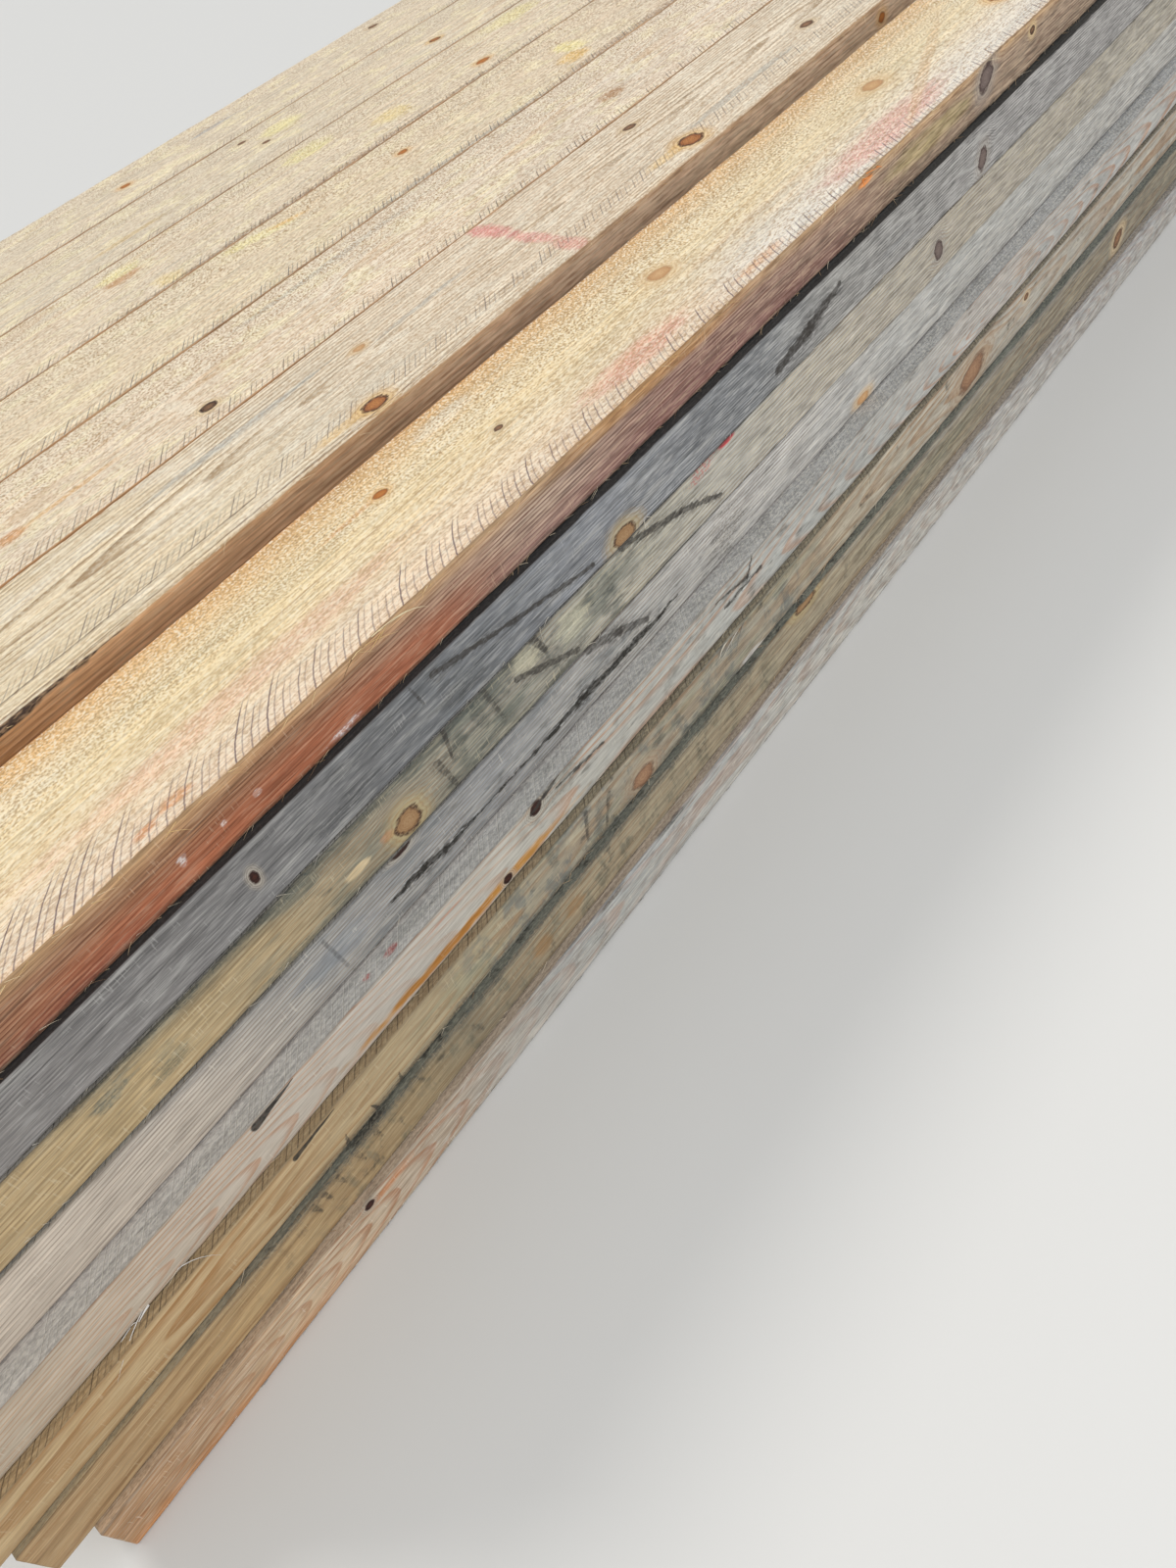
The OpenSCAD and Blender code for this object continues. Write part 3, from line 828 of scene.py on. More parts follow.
def edge_finishes() -> Dict[str, WoodFinish]:
    """The edges that show on the right side, by the course from the top, and the plain ones."""
    shared = {"part": Part.EDGE, "arris_wear": 0.35, "weather": 0.8}
    pushed_out = WoodFinish(
        "pushed_out_board_edge", passage=((-1.45, shady(150, 114, 92)), (-1.17, shady(152, 112, 82)),
        (-1.05, shady(151, 110, 83)), (-0.986, shady(152, 119, 97)), (-0.855, shady(174, 153, 136)),
        (-0.70, shady(146, 116, 106)), (-0.39, shady(158, 138, 118)), (-0.06, shady(160, 142, 122))),
        late=shady(84, 44, 30), late_strength=0.95, ring=0.0026, early=0.4, fibre=0.13, fuzz=0.3,
        lines=0.6, hairs=0.3, pith=Pith(-0.25, -0.075, 0.03), wave=0.006,
        pale=shady(206, 178, 150), pit=shady(84, 46, 32), arris_tint=shady(92, 80, 60),
        knots=(Knot(-0.214, 0.0273, 0.013, 0.0095, KnotKind.GREY, 0.5),
               Knot(-0.119, 0.0302, 0.005, 0.004, KnotKind.BLACK)),
        bands=(Band(0.041, 0.028, shady(196, 160, 118), 0.75),
               Band(0.012, 0.030, shady(161, 92, 64), 0.7, -1.28, -0.93),
               Band(0.002, 0.016, shady(116, 62, 52), 0.7, -1.6, -1.21, 0.3),
               Band(0.002, 0.024, shady(136, 98, 94), 0.6, -0.93, -0.45),
               Band(0.033, 0.029, shady(178, 132, 80), 0.6, -0.83, -0.64),
               # Dark stripe along the bottom arris, where the board sits on the course below: painted shade
               Band(0.0, 0.005, shady(64, 56, 46), 0.85, grainy=0.4)),
        patches=(Patch(-0.318, 0.0220, 0.085, 0.010, shady(166, 152, 104), 0.6),
                 Patch(-1.179, 0.0174, 0.0040, 0.0035, shady(222, 214, 210), 0.8, 1.2, 0.7),
                 Patch(-1.149, 0.0164, 0.0026, 0.0024, shady(222, 214, 210), 0.7, 1.2, 0.7),
                 Patch(-1.124, 0.0159, 0.0026, 0.0024, shady(222, 212, 204), 0.6, 1.2, 0.7),
                 Patch(-1.060, 0.0050, 0.0140, 0.0028, shady(218, 210, 208), 0.75, 1.2, 0.7),
                 Patch(-0.430, 0.0350, 0.012, 0.003, shady(222, 138, 70), 0.9, 0.2)),
        **shared)
    seventh = WoodFinish(
        "course_7_edge", passage=((-1.42, shady(136, 131, 127)), (-1.23, shady(122, 119, 117)),
        (-1.02, shady(113, 115, 117)), (-0.847, shady(134, 136, 140)), (-0.60, shady(130, 131, 132)),
        (-0.50, shady(156, 153, 148)), (-0.19, shady(162, 158, 154))),
        late=shady(60, 60, 62), late_strength=0.7, ring=0.0024, early=0.35, fibre=0.13, fuzz=0.35,
        lines=0.5, hairs=0.25, pith=Pith(-0.80, -0.055, 0.035), wave=0.010,
        pale=shady(186, 184, 180), pit=shady(76, 76, 76), arris_tint=shady(70, 68, 66),
        knots=(Knot(-1.156, 0.0244, 0.0030, 0.0048, KnotKind.RED),
               Knot(-0.802, 0.0053, 0.0120, 0.0070, KnotKind.TAN),
               Knot(-0.239, 0.0161, 0.0075, 0.0095, KnotKind.GREY, -0.5)),
        mottles=(Mottle(shady(92, 92, 92), 0.5, 0.40, -1.12, -0.86, 26.0, 90.0),
                 Mottle(shady(72, 72, 72), 0.6, 0.12, -1.12, 0.4, 30.0, 160.0),
                 Mottle(shady(186, 184, 178), 0.4, 0.30, -1.45, 0.4, 12.0, 120.0)),
        patches=(Patch(-1.089, 0.0125, 0.030, 0.0055, shady(84, 84, 84), 0.6, 1.2, 0.5),
                 Patch(-0.974, 0.0136, 0.026, 0.011, shady(88, 90, 90), 0.6, 1.2, 0.4),
                 Patch(-0.990, 0.0220, 0.006, 0.018, shady(90, 90, 90), 0.5, 1.4, 0.4),
                 Patch(-0.978, 0.0150, 0.006, 0.016, shady(84, 86, 86), 0.5, 1.4, 0.4),
                 Patch(-0.400, 0.0170, 0.030, 0.004, shady(120, 120, 120), 0.6, 1.0, 0.4)),
        cracks=(Crack((-1.012, 0.0435), (-1.008, 0.027), 0.0016, 0.003, MOULD, 0.75, broken=0.5),
                *trail(((-0.994, 0.0394), (-0.919, 0.0224), (-0.839, 0.0064)),
                       (0.0026, 0.0020, 0.0022), MOULD, 0.85),
                *trail(((-0.595, 0.012), (-0.545, 0.020), (-0.495, 0.031)),
                       (0.0045, 0.0060, 0.0030), MOULD, 0.9, 0.005)),
        **shared)
    sixth = WoodFinish(
        "course_6_edge", passage=((-1.42, shady(182, 158, 120)), (-1.29, shady(178, 156, 118)),
        (-1.16, shady(168, 150, 118)), (-1.08, shady(141, 133, 115)), (-0.98, shady(139, 138, 129)),
        (-0.80, shady(165, 163, 153)), (-0.66, shady(180, 178, 170)), (-0.31, shady(170, 165, 155))),
        late=shady(126, 92, 54), late_strength=0.6, ring=0.0032, early=0.35, fibre=0.10, fuzz=0.3,
        lines=0.4, hairs=0.3, pith=Pith(-0.325, -0.045, 0.04), wave=0.008,
        pale=shady(206, 194, 166), pit=shady(96, 88, 70), arris_tint=shady(64, 62, 56),
        knots=(Knot(-1.0575, 0.0115, 0.0105, 0.0092, KnotKind.TAN),
               Knot(-0.325, 0.0204, 0.0070, 0.0080, KnotKind.GREY, 0.5)),
        bands=(Band(0.0465, 0.033, shady(84, 90, 86), 0.9, -1.30, -0.98, 0.2),
               Band(0.0475, 0.040, shady(48, 52, 50), 0.85, -1.34, -0.90, 0.4),
               Band(0.0, 0.006, shady(96, 96, 84), 0.6, -1.22, -0.70, 0.3)),
        mottles=(Mottle(shady(104, 110, 102), 0.6, 0.45, -1.19, -0.80, 14.0, 60.0),
                 Mottle(shady(84, 88, 84), 0.7, 0.45, -1.03, -0.78, 42.0, 90.0),
                 Mottle(shady(56, 58, 56), 0.8, 0.12, -1.30, -0.70, 30.0, 160.0)),
        patches=(Patch(-1.291, 0.0335, 0.016, 0.0060, shady(92, 100, 94), 0.7, 1.6, 0.4),
                 Patch(-1.258, 0.0160, 0.016, 0.0050, shady(108, 108, 92), 0.6, 1.6, 0.4),
                 Patch(-1.255, 0.0270, 0.010, 0.0060, shady(118, 116, 98), 0.5, 1.6, 0.4),
                 Patch(-1.150, 0.0030, 0.060, 0.0035, shady(92, 96, 88), 0.6, 0.9, 0.4),
                 Patch(-1.104, 0.0138, 0.011, 0.0040, shady(214, 190, 150), 0.8, 0.9),
                 Patch(-1.074, 0.0159, 0.007, 0.0040, shady(164, 96, 60), 0.65, 0.9),
                 Patch(-1.000, 0.0260, 0.007, 0.0200, shady(82, 86, 80), 0.7, 1.7, 0.4),
                 Patch(-0.975, 0.0330, 0.006, 0.0150, shady(76, 80, 76), 0.7, 1.7, 0.4, tilt=0.3),
                 Patch(-0.958, 0.0120, 0.010, 0.0120, shady(92, 96, 88), 0.6, 1.7, 0.4),
                 Patch(-0.923, 0.0352, 0.015, 0.0100, shady(190, 184, 160), 0.75, 1.1, 0.3),
                 Patch(-0.875, 0.0284, 0.019, 0.0125, shady(192, 188, 166), 0.75, 1.1, 0.3),
                 Patch(-0.672, 0.0450, 0.011, 0.0028, paint(196, 34, 60), 0.9, 0.5),
                 Patch(-0.705, 0.0420, 0.018, 0.0060, paint(196, 60, 76), 0.6, 1.3, 1.0)),
        cracks=(Crack((-1.005, 0.0455), (-1.008, 0.022), 0.0028, 0.004, MOULD, 0.8, 0.0012, 0.4, 0.3),
                Crack((-1.020, 0.030), (-1.014, 0.003), 0.0036, 0.005, MOULD, 0.6, 0.0024, 0.5, 0.3),
                Crack((-0.912, 0.0455), (-0.905, 0.030), 0.0044, 0.005, MOULD, 0.8, 0.0030, 0.4, 0.4),
                Crack((-0.965, 0.0440), (-0.958, 0.012), 0.0030, 0.005, MOULD, 0.5, 0.0016, 0.5, 0.3),
                *trail(((-0.937, 0.0300), (-0.878, 0.0061)), (0.0030, 0.0030), MOULD, 0.8),
                *trail(((-0.810, 0.0460), (-0.740, 0.0280), (-0.690, 0.0080)),
                       (0.0030, 0.0034, 0.0024), MOULD, 0.85, 0.005)),
        **shared)
    fifth = WoodFinish(
        "course_5_edge", passage=((-1.42, shady(196, 182, 166)), (-1.23, shady(190, 180, 167)),
        (-1.13, shady(158, 157, 153)), (-1.00, shady(140, 142, 143)), (-0.80, shady(166, 166, 162)),
        (-0.644, shady(186, 184, 180)), (-0.28, shady(178, 178, 174))),
        late=shady(122, 102, 88), late_strength=0.7, ring=0.0030, early=0.45, fibre=0.09, fuzz=0.3,
        lines=0.45, hairs=0.3, pith=Pith(-0.45, -0.060, 0.045), wave=0.010,
        pale=shady(212, 204, 190), pit=shady(108, 100, 92), arris_tint=shady(70, 66, 62),
        knots=(Knot(-1.073, 0.0470, 0.0090, 0.0036, KnotKind.RED),
               Knot(-0.47, 0.0060, 0.010, 0.0040, KnotKind.PALE)),
        mottles=(Mottle(shady(112, 116, 118), 0.6, 0.35, -1.22, -0.78, 16.0, 60.0),
                 Mottle(shady(92, 92, 90), 0.65, 0.2, -1.12, -0.60, 34.0, 90.0)),
        bands=(Band(0.0465, 0.034, shady(118, 120, 122), 0.6, -1.30, -0.90, 0.3),),
        patches=(Patch(-1.145, 0.0251, 0.034, 0.011, shady(132, 136, 140), 0.6, 0.9),
                 Patch(-0.690, 0.024, 0.026, 0.020, shady(96, 92, 86), 0.6, 1.2, 0.8, tilt=0.5)),
        cracks=(Crack((-1.149, 0.041), (-1.146, 0.0087), 0.0022, 0.002, shady(84, 84, 84), 0.6,
                      broken=0.5),
                *trail(((-1.100, 0.0192), (-1.066, 0.0176), (-1.046, 0.0146), (-1.016, 0.0133),
                        (-0.968, 0.0135), (-0.930, 0.0130), (-0.887, 0.0138), (-0.837, 0.0127),
                        (-0.790, 0.0118), (-0.765, 0.0128)),
                       (0.0008, 0.0038, 0.0030, 0.0010, 0.0017, 0.0012, 0.0046, 0.0034, 0.0022,
                        0.0005), paint(44, 41, 37), 0.95, 0.005, 0.2),
                *trail(((-0.869, 0.0459), (-0.835, 0.0340), (-0.804, 0.0200)),
                       (0.0050, 0.0044, 0.0030), MOULD, 0.7)),
        **shared)
    fourth = WoodFinish(
        "course_4_edge", passage=((-1.44, shady(176, 162, 143)), (-1.31, shady(183, 170, 154)),
        (-1.16, shady(180, 173, 163)), (-1.02, shady(183, 179, 169)), (-0.92, shady(170, 168, 160)),
        (-0.63, shady(168, 169, 165)), (-0.25, shady(172, 171, 167))),
        late=shady(164, 108, 64), late_strength=0.7, ring=0.0034, early=0.5, fibre=0.06, fuzz=0.25,
        lines=0.3, hairs=0.25, pith=Pith(-1.43, 0.0115, 0.11, 1.18), wave=0.008, cloudy=0.2,
        pale=shady(216, 208, 192), pit=shady(124, 108, 90), arris_tint=shady(86, 78, 68),
        knots=(Knot(-1.024, 0.0058, 0.0045, 0.0035, KnotKind.RED),
               Knot(-0.978, 0.0351, 0.0060, 0.0050, KnotKind.RED, 0.5)),
        patches=(Patch(-1.060, 0.0062, 0.118, 0.0044, shady(184, 128, 46), 0.92, 0.6),
                 Patch(-1.085, 0.0060, 0.060, 0.0036, shady(160, 100, 34), 0.6, 0.9),
                 Patch(-1.081, 0.0315, 0.024, 0.0010, shady(190, 136, 112), 0.6),
                 Patch(-0.958, 0.0330, 0.030, 0.0110, shady(112, 112, 104), 0.6, 1.3, 0.5),
                 Patch(-0.172, 0.0203, 0.030, 0.0110, shady(170, 146, 124), 0.35)),
        mottles=(Mottle(shady(112, 112, 106), 0.55, 0.35, -1.00, -0.62, 34.0, 60.0),
                 Mottle(shady(84, 84, 80), 0.7, 0.18, -1.02, 0.40, 26.0, 120.0)),
        cracks=(Crack((-1.2540, 0.0364), (-1.220, 0.0400), 0.0044, 0.001, paint(40, 38, 36), 0.97,
                      0.0003, 0.1),
                *trail(((-0.950, 0.0405), (-0.968, 0.0370), (-0.985, 0.0340)),
                       (0.0012, 0.0020, 0.0008), MOULD, 0.85),
                *trail(((-0.955, 0.0330), (-0.930, 0.0290), (-0.900, 0.0260)),
                       (0.0010, 0.0016, 0.0008), MOULD, 0.8),
                *trail(((-0.745, 0.0340), (-0.700, 0.0260), (-0.690, 0.0400)),
                       (0.0008, 0.0018, 0.0008), MOULD, 0.85),
                *trail(((-0.735, 0.0210), (-0.680, 0.0215)), (0.0018, 0.0014), MOULD, 0.85)),
        **shared)
    third = WoodFinish(
        "course_3_edge", passage=((-1.44, shady(178, 153, 116)), (-1.31, shady(179, 152, 114)),
        (-1.19, shady(174, 156, 124)), (-1.09, shady(164, 153, 128)), (-0.99, shady(152, 145, 129)),
        (-0.70, shady(150, 144, 130)), (-0.58, shady(172, 162, 144)), (-0.21, shady(172, 167, 157))),
        late=shady(136, 90, 40), late_strength=0.7, ring=0.0062, early=0.25, fibre=0.06, fuzz=0.25,
        lines=0.3, hairs=0.25, pith=Pith(-1.14, 0.0200, 0.085, 0.84), wave=0.014, cloudy=0.2,
        pale=shady(206, 192, 162), pit=shady(112, 90, 60), arris_tint=shady(72, 68, 58),
        knots=(Knot(-0.879, 0.0105, 0.0130, 0.0080, KnotKind.SWIRL),
               Knot(-0.302, 0.0180, 0.0260, 0.0110, KnotKind.SWIRL, 0.2),
               Knot(-0.178, 0.0297, 0.0050, 0.0035, KnotKind.BROWN)),
        mottles=(Mottle(shady(100, 108, 108), 0.65, 0.42, -1.10, -0.62, 46.0, 34.0),
                 Mottle(shady(132, 134, 110), 0.4, 0.4, -1.16, -0.60, 12.0, 60.0),
                 Mottle(shady(60, 64, 64), 0.8, 0.16, -1.22, 0.40, 50.0, 60.0)),
        bands=(Band(0.0, 0.009, shady(58, 66, 66), 0.9, -1.27, -0.74, 0.4),),
        patches=(Patch(-0.960, 0.0280, 0.020, 0.0070, shady(188, 176, 150), 0.5, 1.0),
                 Patch(-0.988, 0.0300, 0.005, 0.0130, shady(92, 96, 90), 0.7, 1.7, 0.4),
                 Patch(-0.934, 0.0200, 0.006, 0.0160, shady(84, 90, 88), 0.7, 1.7, 0.4, tilt=-0.4),
                 Patch(-0.850, 0.0300, 0.008, 0.0120, shady(80, 84, 82), 0.7, 1.7, 0.4, tilt=-0.4),
                 Patch(-0.826, 0.0180, 0.006, 0.0140, shady(86, 90, 86), 0.6, 1.7, 0.4),
                 Patch(-0.72, 0.0020, 0.018, 0.0030, shady(214, 210, 204), 0.8, 0.6)),
        cracks=(Crack((-1.2525, 0.0362), (-1.216, 0.0388), 0.0030, 0.001, paint(44, 42, 40), 0.95,
                      0.0003, 0.1),
                Crack((-1.225, 0.000), (-1.222, 0.011), 0.0026, 0.003, MOULD, 0.8, 0.0005, 0.3, 0.3),
                Crack((-1.195, 0.000), (-1.198, 0.010), 0.0024, 0.003, MOULD, 0.8, 0.0005, 0.3, 0.3),
                Crack((-1.172, 0.000), (-1.170, 0.009), 0.0022, 0.003, MOULD, 0.8, 0.0005, 0.3, 0.3),
                Crack((-0.945, 0.036), (-0.952, 0.012), 0.0030, 0.004, MOULD, 0.6, 0.0014, 0.4, 0.3),
                Crack((-0.918, 0.030), (-0.930, 0.006), 0.0030, 0.004, MOULD, 0.6, 0.0014, 0.4, 0.3)),
        **shared)
    second = WoodFinish(
        "course_2_edge", passage=((-1.44, shady(168, 140, 104)), (-1.31, shady(176, 148, 108)),
        (-1.20, shady(152, 134, 104)), (-1.13, shady(134, 124, 104)), (-0.98, shady(154, 142, 119)),
        (-0.58, shady(156, 146, 126)), (-0.18, shady(138, 133, 120))),
        late=shady(112, 76, 42), late_strength=0.6, ring=0.0064, early=0.25, fibre=0.08, fuzz=0.28,
        lines=0.35, hairs=0.25, pith=Pith(-0.99, 0.0150, 0.05, 0.9), wave=0.016, cloudy=0.3,
        pale=shady(192, 176, 144), pit=shady(98, 80, 54), arris_tint=shady(60, 56, 50),
        knots=(Knot(-0.644, 0.0400, 0.0160, 0.0060, KnotKind.TAN),
               Knot(0.055, 0.0177, 0.0120, 0.0080, KnotKind.BROWN, 0.4)),
        bands=(Band(0.041, 0.031, shady(70, 78, 78), 0.85, -1.34, -0.70, 0.4),
               Band(0.041, 0.030, shady(130, 132, 132), 0.5, -0.60, 0.1, 0.2)),
        patches=(Patch(-1.031, 0.0187, 0.012, 0.008, shady(150, 112, 70), 0.55),
                 Patch(-0.991, 0.0187, 0.012, 0.008, shady(150, 112, 70), 0.5),
                 Patch(-0.42, 0.0220, 0.14, 0.009, shady(112, 112, 98), 0.55)),
        mottles=(Mottle(shady(94, 96, 84), 0.55, 0.42, -1.27, -0.70, 50.0, 30.0),
                 Mottle(shady(62, 64, 60), 0.7, 0.15, -1.30, -0.40, 60.0, 44.0)),
        cracks=tuple(Crack((x, 0.0345), (x + 0.002, 0.0235), 0.0030, 0.005, MOULD, 0.55, 0.0008, 0.6, 0.3)
                     for x in (-1.268, -1.258, -1.245, -1.226, -1.208)),
        **shared)
    first = WoodFinish(
        "course_1_edge", passage=((-1.45, shady(171, 138, 105)), (-1.31, shady(195, 172, 143)),
        (-1.145, shady(165, 152, 136)), (-0.966, shady(147, 151, 149)), (-0.55, shady(186, 184, 176)),
        (-0.14, shady(174, 174, 174))),
        late=shady(150, 88, 40), late_strength=0.65, ring=0.0034, early=0.45, fibre=0.10, fuzz=0.35,
        lines=0.45, hairs=0.35, pith=Pith(-1.47, 0.0190, 0.13, 1.3), wave=0.009,
        pale=shady(216, 206, 190), pit=shady(120, 92, 68), arris_tint=shady(70, 62, 54),
        knots=(Knot(-1.244, 0.0356, 0.0040, 0.0030, KnotKind.RED),),
        bands=(Band(0.0, 0.014, shady(188, 122, 66), 0.6, -1.6, -1.28),
               Band(0.0, 0.070, shady(176, 174, 168), 0.6, -1.13, 2.0),
               Band(0.041, 0.020, shady(150, 154, 158), 0.45, -1.05, 0.3)),
        patches=(Patch(-1.225, 0.0330, 0.022, 0.0040, shady(186, 118, 68), 0.6, 0.8),
                 Patch(-0.962, 0.0370, 0.020, 0.0030, shady(66, 70, 66), 0.8, 1.5, 0.4),
                 Patch(-0.872, 0.0380, 0.026, 0.0030, shady(72, 76, 72), 0.75, 1.5, 0.4),
                 Patch(-0.985, 0.0180, 0.010, 0.0100, shady(112, 116, 114), 0.6, 1.6, 0.5)),
        mottles=(Mottle(shady(134, 138, 136), 0.45, 0.4, -1.10, 0.3, 16.0, 60.0),
                 Mottle(shady(76, 78, 74), 0.8, 0.2, -1.10, 0.4, 50.0, 90.0),
                 Mottle(shady(208, 206, 198), 0.5, 0.3, -1.20, 0.4, 60.0, 300.0)),
        **shared)
    fresh = WoodFinish(
        "fresh_board_edge", passage=((-1.45, paint(216, 156, 100)), (-1.2, paint(223, 165, 109)),
        (-1.04, paint(225, 181, 137)), (-0.83, paint(215, 179, 143)), (-0.57, paint(226, 197, 168)),
        (0.3, paint(228, 204, 176))),
        late=paint(172, 122, 82), late_strength=0.7, ring=0.0040, early=0.4, fibre=0.10, fuzz=0.3,
        pith=Pith(-0.845, 0.005, 0.06, 0.445), pale=paint(240, 216, 180), pit=paint(150, 108, 76),
        arris_tint=paint(150, 118, 84),
        knots=(Knot(-0.05, 0.026, 0.007, 0.005, KnotKind.ORANGE),),
        bands=(Band(0.0, 0.012, paint(178, 118, 76), 0.5),
               Band(0.041, 0.033, paint(196, 150, 104), 0.5)),
        **shared)
    return {"course_8": pushed_out, "course_7": seventh, "course_6": sixth, "course_5": fifth,
            "course_4": fourth, "course_3": third, "course_2": second, "course_1": first,
            "fresh": fresh}


def strip_finishes() -> Dict[str, WoodFinish]:
    """The upper faces of right-hand boards that stand out beyond the course above."""
    shared = {"part": Part.FACE, "arris_wear": 0.3, "late_strength": 0.4, "hairs": 0.3}
    # Course 7's strip lies under the pushed-out board: its dark weathered grey is darkened further to stand
    # for that board's painted shadow
    seventh = WoodFinish(
        "course_7_strip_painted_shadow", passage=((-1.4, shady(60, 56, 54)), (-0.9, shady(54, 54, 54)),
        (0.2, shady(74, 74, 72))),
        late=shady(34, 33, 32), fuzz=0.3, pale=shady(92, 90, 86), pit=shady(32, 31, 30),
        arris_tint=shady(60, 58, 56), **shared)
    fourth = WoodFinish(
        "course_4_strip", passage=((-1.4, shady(195, 190, 182)), (-1.0, shady(183, 182, 178)),
        (0.2, shady(178, 180, 181))),
        late=shady(158, 148, 142), fuzz=0.5, pale=shady(226, 220, 208), pit=shady(128, 122, 118),
        arris_tint=shady(138, 130, 120),
        hatch=Hatch(0.022, 0.018, 0.0105, 1.0, 0.6, shady(214, 210, 200)),
        # Pinkish grey darkening towards the course above: painted shade under it
        bands=(Band(0.026, 0.014, shady(150, 132, 126), 0.5),),
        patches=(Patch(-1.144, 0.0092, 0.0045, 0.0024, paint(176, 44, 40), 0.9, 0.9, 0.4),
                 Patch(-1.120, 0.0092, 0.0060, 0.0028, paint(176, 48, 44), 0.85, 0.9, 0.4)),
        mottles=(Mottle(shady(124, 124, 120), 0.4, 0.35, -1.2, 0.3, 20.0, 60.0),), **shared)
    third = WoodFinish(
        "course_3_strip", passage=((-1.42, shady(178, 150, 112)), (-1.2, shady(158, 138, 108)),
        (-0.9, shady(128, 122, 106)), (0.2, shady(134, 130, 120))),
        late=shady(118, 98, 70), fuzz=0.4, pale=shady(196, 180, 148), pit=shady(98, 84, 64),
        arris_tint=shady(104, 94, 76), hatch=Hatch(0.022, 0.018, 0.0105, 1.0, 0.6, MOULD),
        **shared)
    second = WoodFinish(
        "course_2_strip", passage=((-1.42, shady(180, 160, 126)), (-1.34, shady(152, 142, 120)),
        (-1.27, shady(120, 120, 108)), (0.2, shady(116, 120, 114))),
        late=shady(84, 86, 80), fuzz=0.4, pale=shady(164, 160, 144), pit=shady(62, 62, 58),
        arris_tint=shady(88, 86, 78), mottles=(Mottle(MOULD, 0.8, 0.35, -1.36, -0.50, 55.0, 90.0),),
        patches=(Patch(-1.206, 0.004, 0.020, 0.006, MOULD, 0.85, 0.8, 0.3),), **shared)
    first = WoodFinish(
        "course_1_strip", passage=((-1.42, shady(196, 168, 138)), (-1.1, shady(176, 160, 142)),
        (0.2, shady(156, 152, 146))),
        late=shady(116, 98, 84), fuzz=0.4, pale=shady(206, 190, 168), pit=shady(98, 84, 72),
        lines=0.6, arris_tint=shady(112, 100, 88), **shared)
    return {"course_7": seventh, "course_4": fourth, "course_3": third, "course_2": second,
            "course_1": first}


def plain_finishes() -> Dict[str, WoodFinish]:
    """The weathered faces inside the stack and the cross-cut ends."""
    weathered_face = WoodFinish(
        "weathered_face", Part.FACE, passage=((-1.4, shady(160, 154, 144)), (-1.0, shady(145, 143, 139)),
        (-0.6, shady(143, 142, 140)), (0.2, shady(150, 149, 147))),
        late=shady(112, 104, 94), late_strength=0.4, fuzz=0.4, pale=shady(190, 184, 170),
        pit=shady(98, 90, 80), arris_wear=0.4, arris_tint=shady(84, 78, 70),
        hatch=Hatch(0.022, 0.018, strength=0.5, tint=shady(90, 86, 82)),
        patches=(Patch(-1.14, 0.012, 0.06, 0.008, shady(168, 96, 84), 0.5, grainy=0.8),),
        mottles=(Mottle(shady(120, 120, 116), 0.45, 0.4),))
    fresh_end = WoodFinish(
        "fresh_board_end", Part.END, passage=((0.0, paint(206, 168, 120)), (1.0, paint(190, 148, 102))),
        late=paint(150, 104, 66), late_strength=0.6, ring=0.0034, arris_wear=0.5,
        arris_tint=paint(150, 118, 86))
    weathered_end = WoodFinish(
        "weathered_board_end", Part.END, passage=((0.0, paint(178, 150, 116)), (1.0, paint(150, 134, 114))),
        late=paint(122, 92, 66), late_strength=0.6, ring=0.0032, arris_wear=0.6,
        arris_tint=paint(104, 90, 76))
    return {"weathered_face": weathered_face, "fresh_end": fresh_end, "weathered_end": weathered_end}


def lattice(columns: np.ndarray, rows: np.ndarray, seed: int) -> np.ndarray:
    """Noise between 0 and 1: hashed values on whole numbers, blended by a smooth step.

    Args:
        columns: First coordinate of each point.
        rows: Second coordinate of each point.
        seed: Which noise.

    Returns:
        The noise at each point.
    """
    left, below = np.floor(columns), np.floor(rows)
    share_x, share_y = columns - left, rows - below
    share_x = share_x * share_x * (3.0 - 2.0 * share_x)
    share_y = share_y * share_y * (3.0 - 2.0 * share_y)

    def corner(step_x: int, step_y: int) -> np.ndarray:
        """The hashed value at one corner of each cell."""
        wave = np.sin((left + step_x) * 127.1 + (below + step_y) * 311.7 + seed * 74.7) * 43758.5453
        return wave - np.floor(wave)

    low = corner(0, 0) + (corner(1, 0) - corner(0, 0)) * share_x
    high = corner(0, 1) + (corner(1, 1) - corner(0, 1)) * share_x
    return low + (high - low) * share_y


@dataclass(frozen=True)
class Wane:
    """A waney arris: which board, arris and end, with its length and depth as shares."""

    course: int
    board: int
    right: bool
    top: bool
    near: bool
    length: float
    depth: float


PILE_LENGTH = 3.045
WANES = (
    Wane(7, 1, True, True, True, 0.2, 0.5), Wane(7, 0, True, False, False, 0.6, 0.45),
    Wane(7, 6, False, False, True, 0.45, 0.9), Wane(5, 6, False, True, False, 0.55, 1.0),
    Wane(3, 6, False, False, False, 0.35, 0.8), Wane(2, 6, False, True, True, 0.6, 0.9),
    Wane(0, 6, False, True, False, 0.3, 0.7), Wane(6, 3, False, True, True, 0.25, 1.0),
    Wane(4, 2, True, False, True, 0.2, 0.9), Wane(1, 4, False, True, False, 0.3, 1.0),
    Wane(5, 3, True, False, False, 0.25, 0.8))


@dataclass(frozen=True)
class Weave:
    """How finely a board's surface is drawn: stations along it and points round it."""

    fine: float
    coarse: float
    wide_points: int
    under_points: int
    right_points: int
    left_points: int
    rings: int = 4


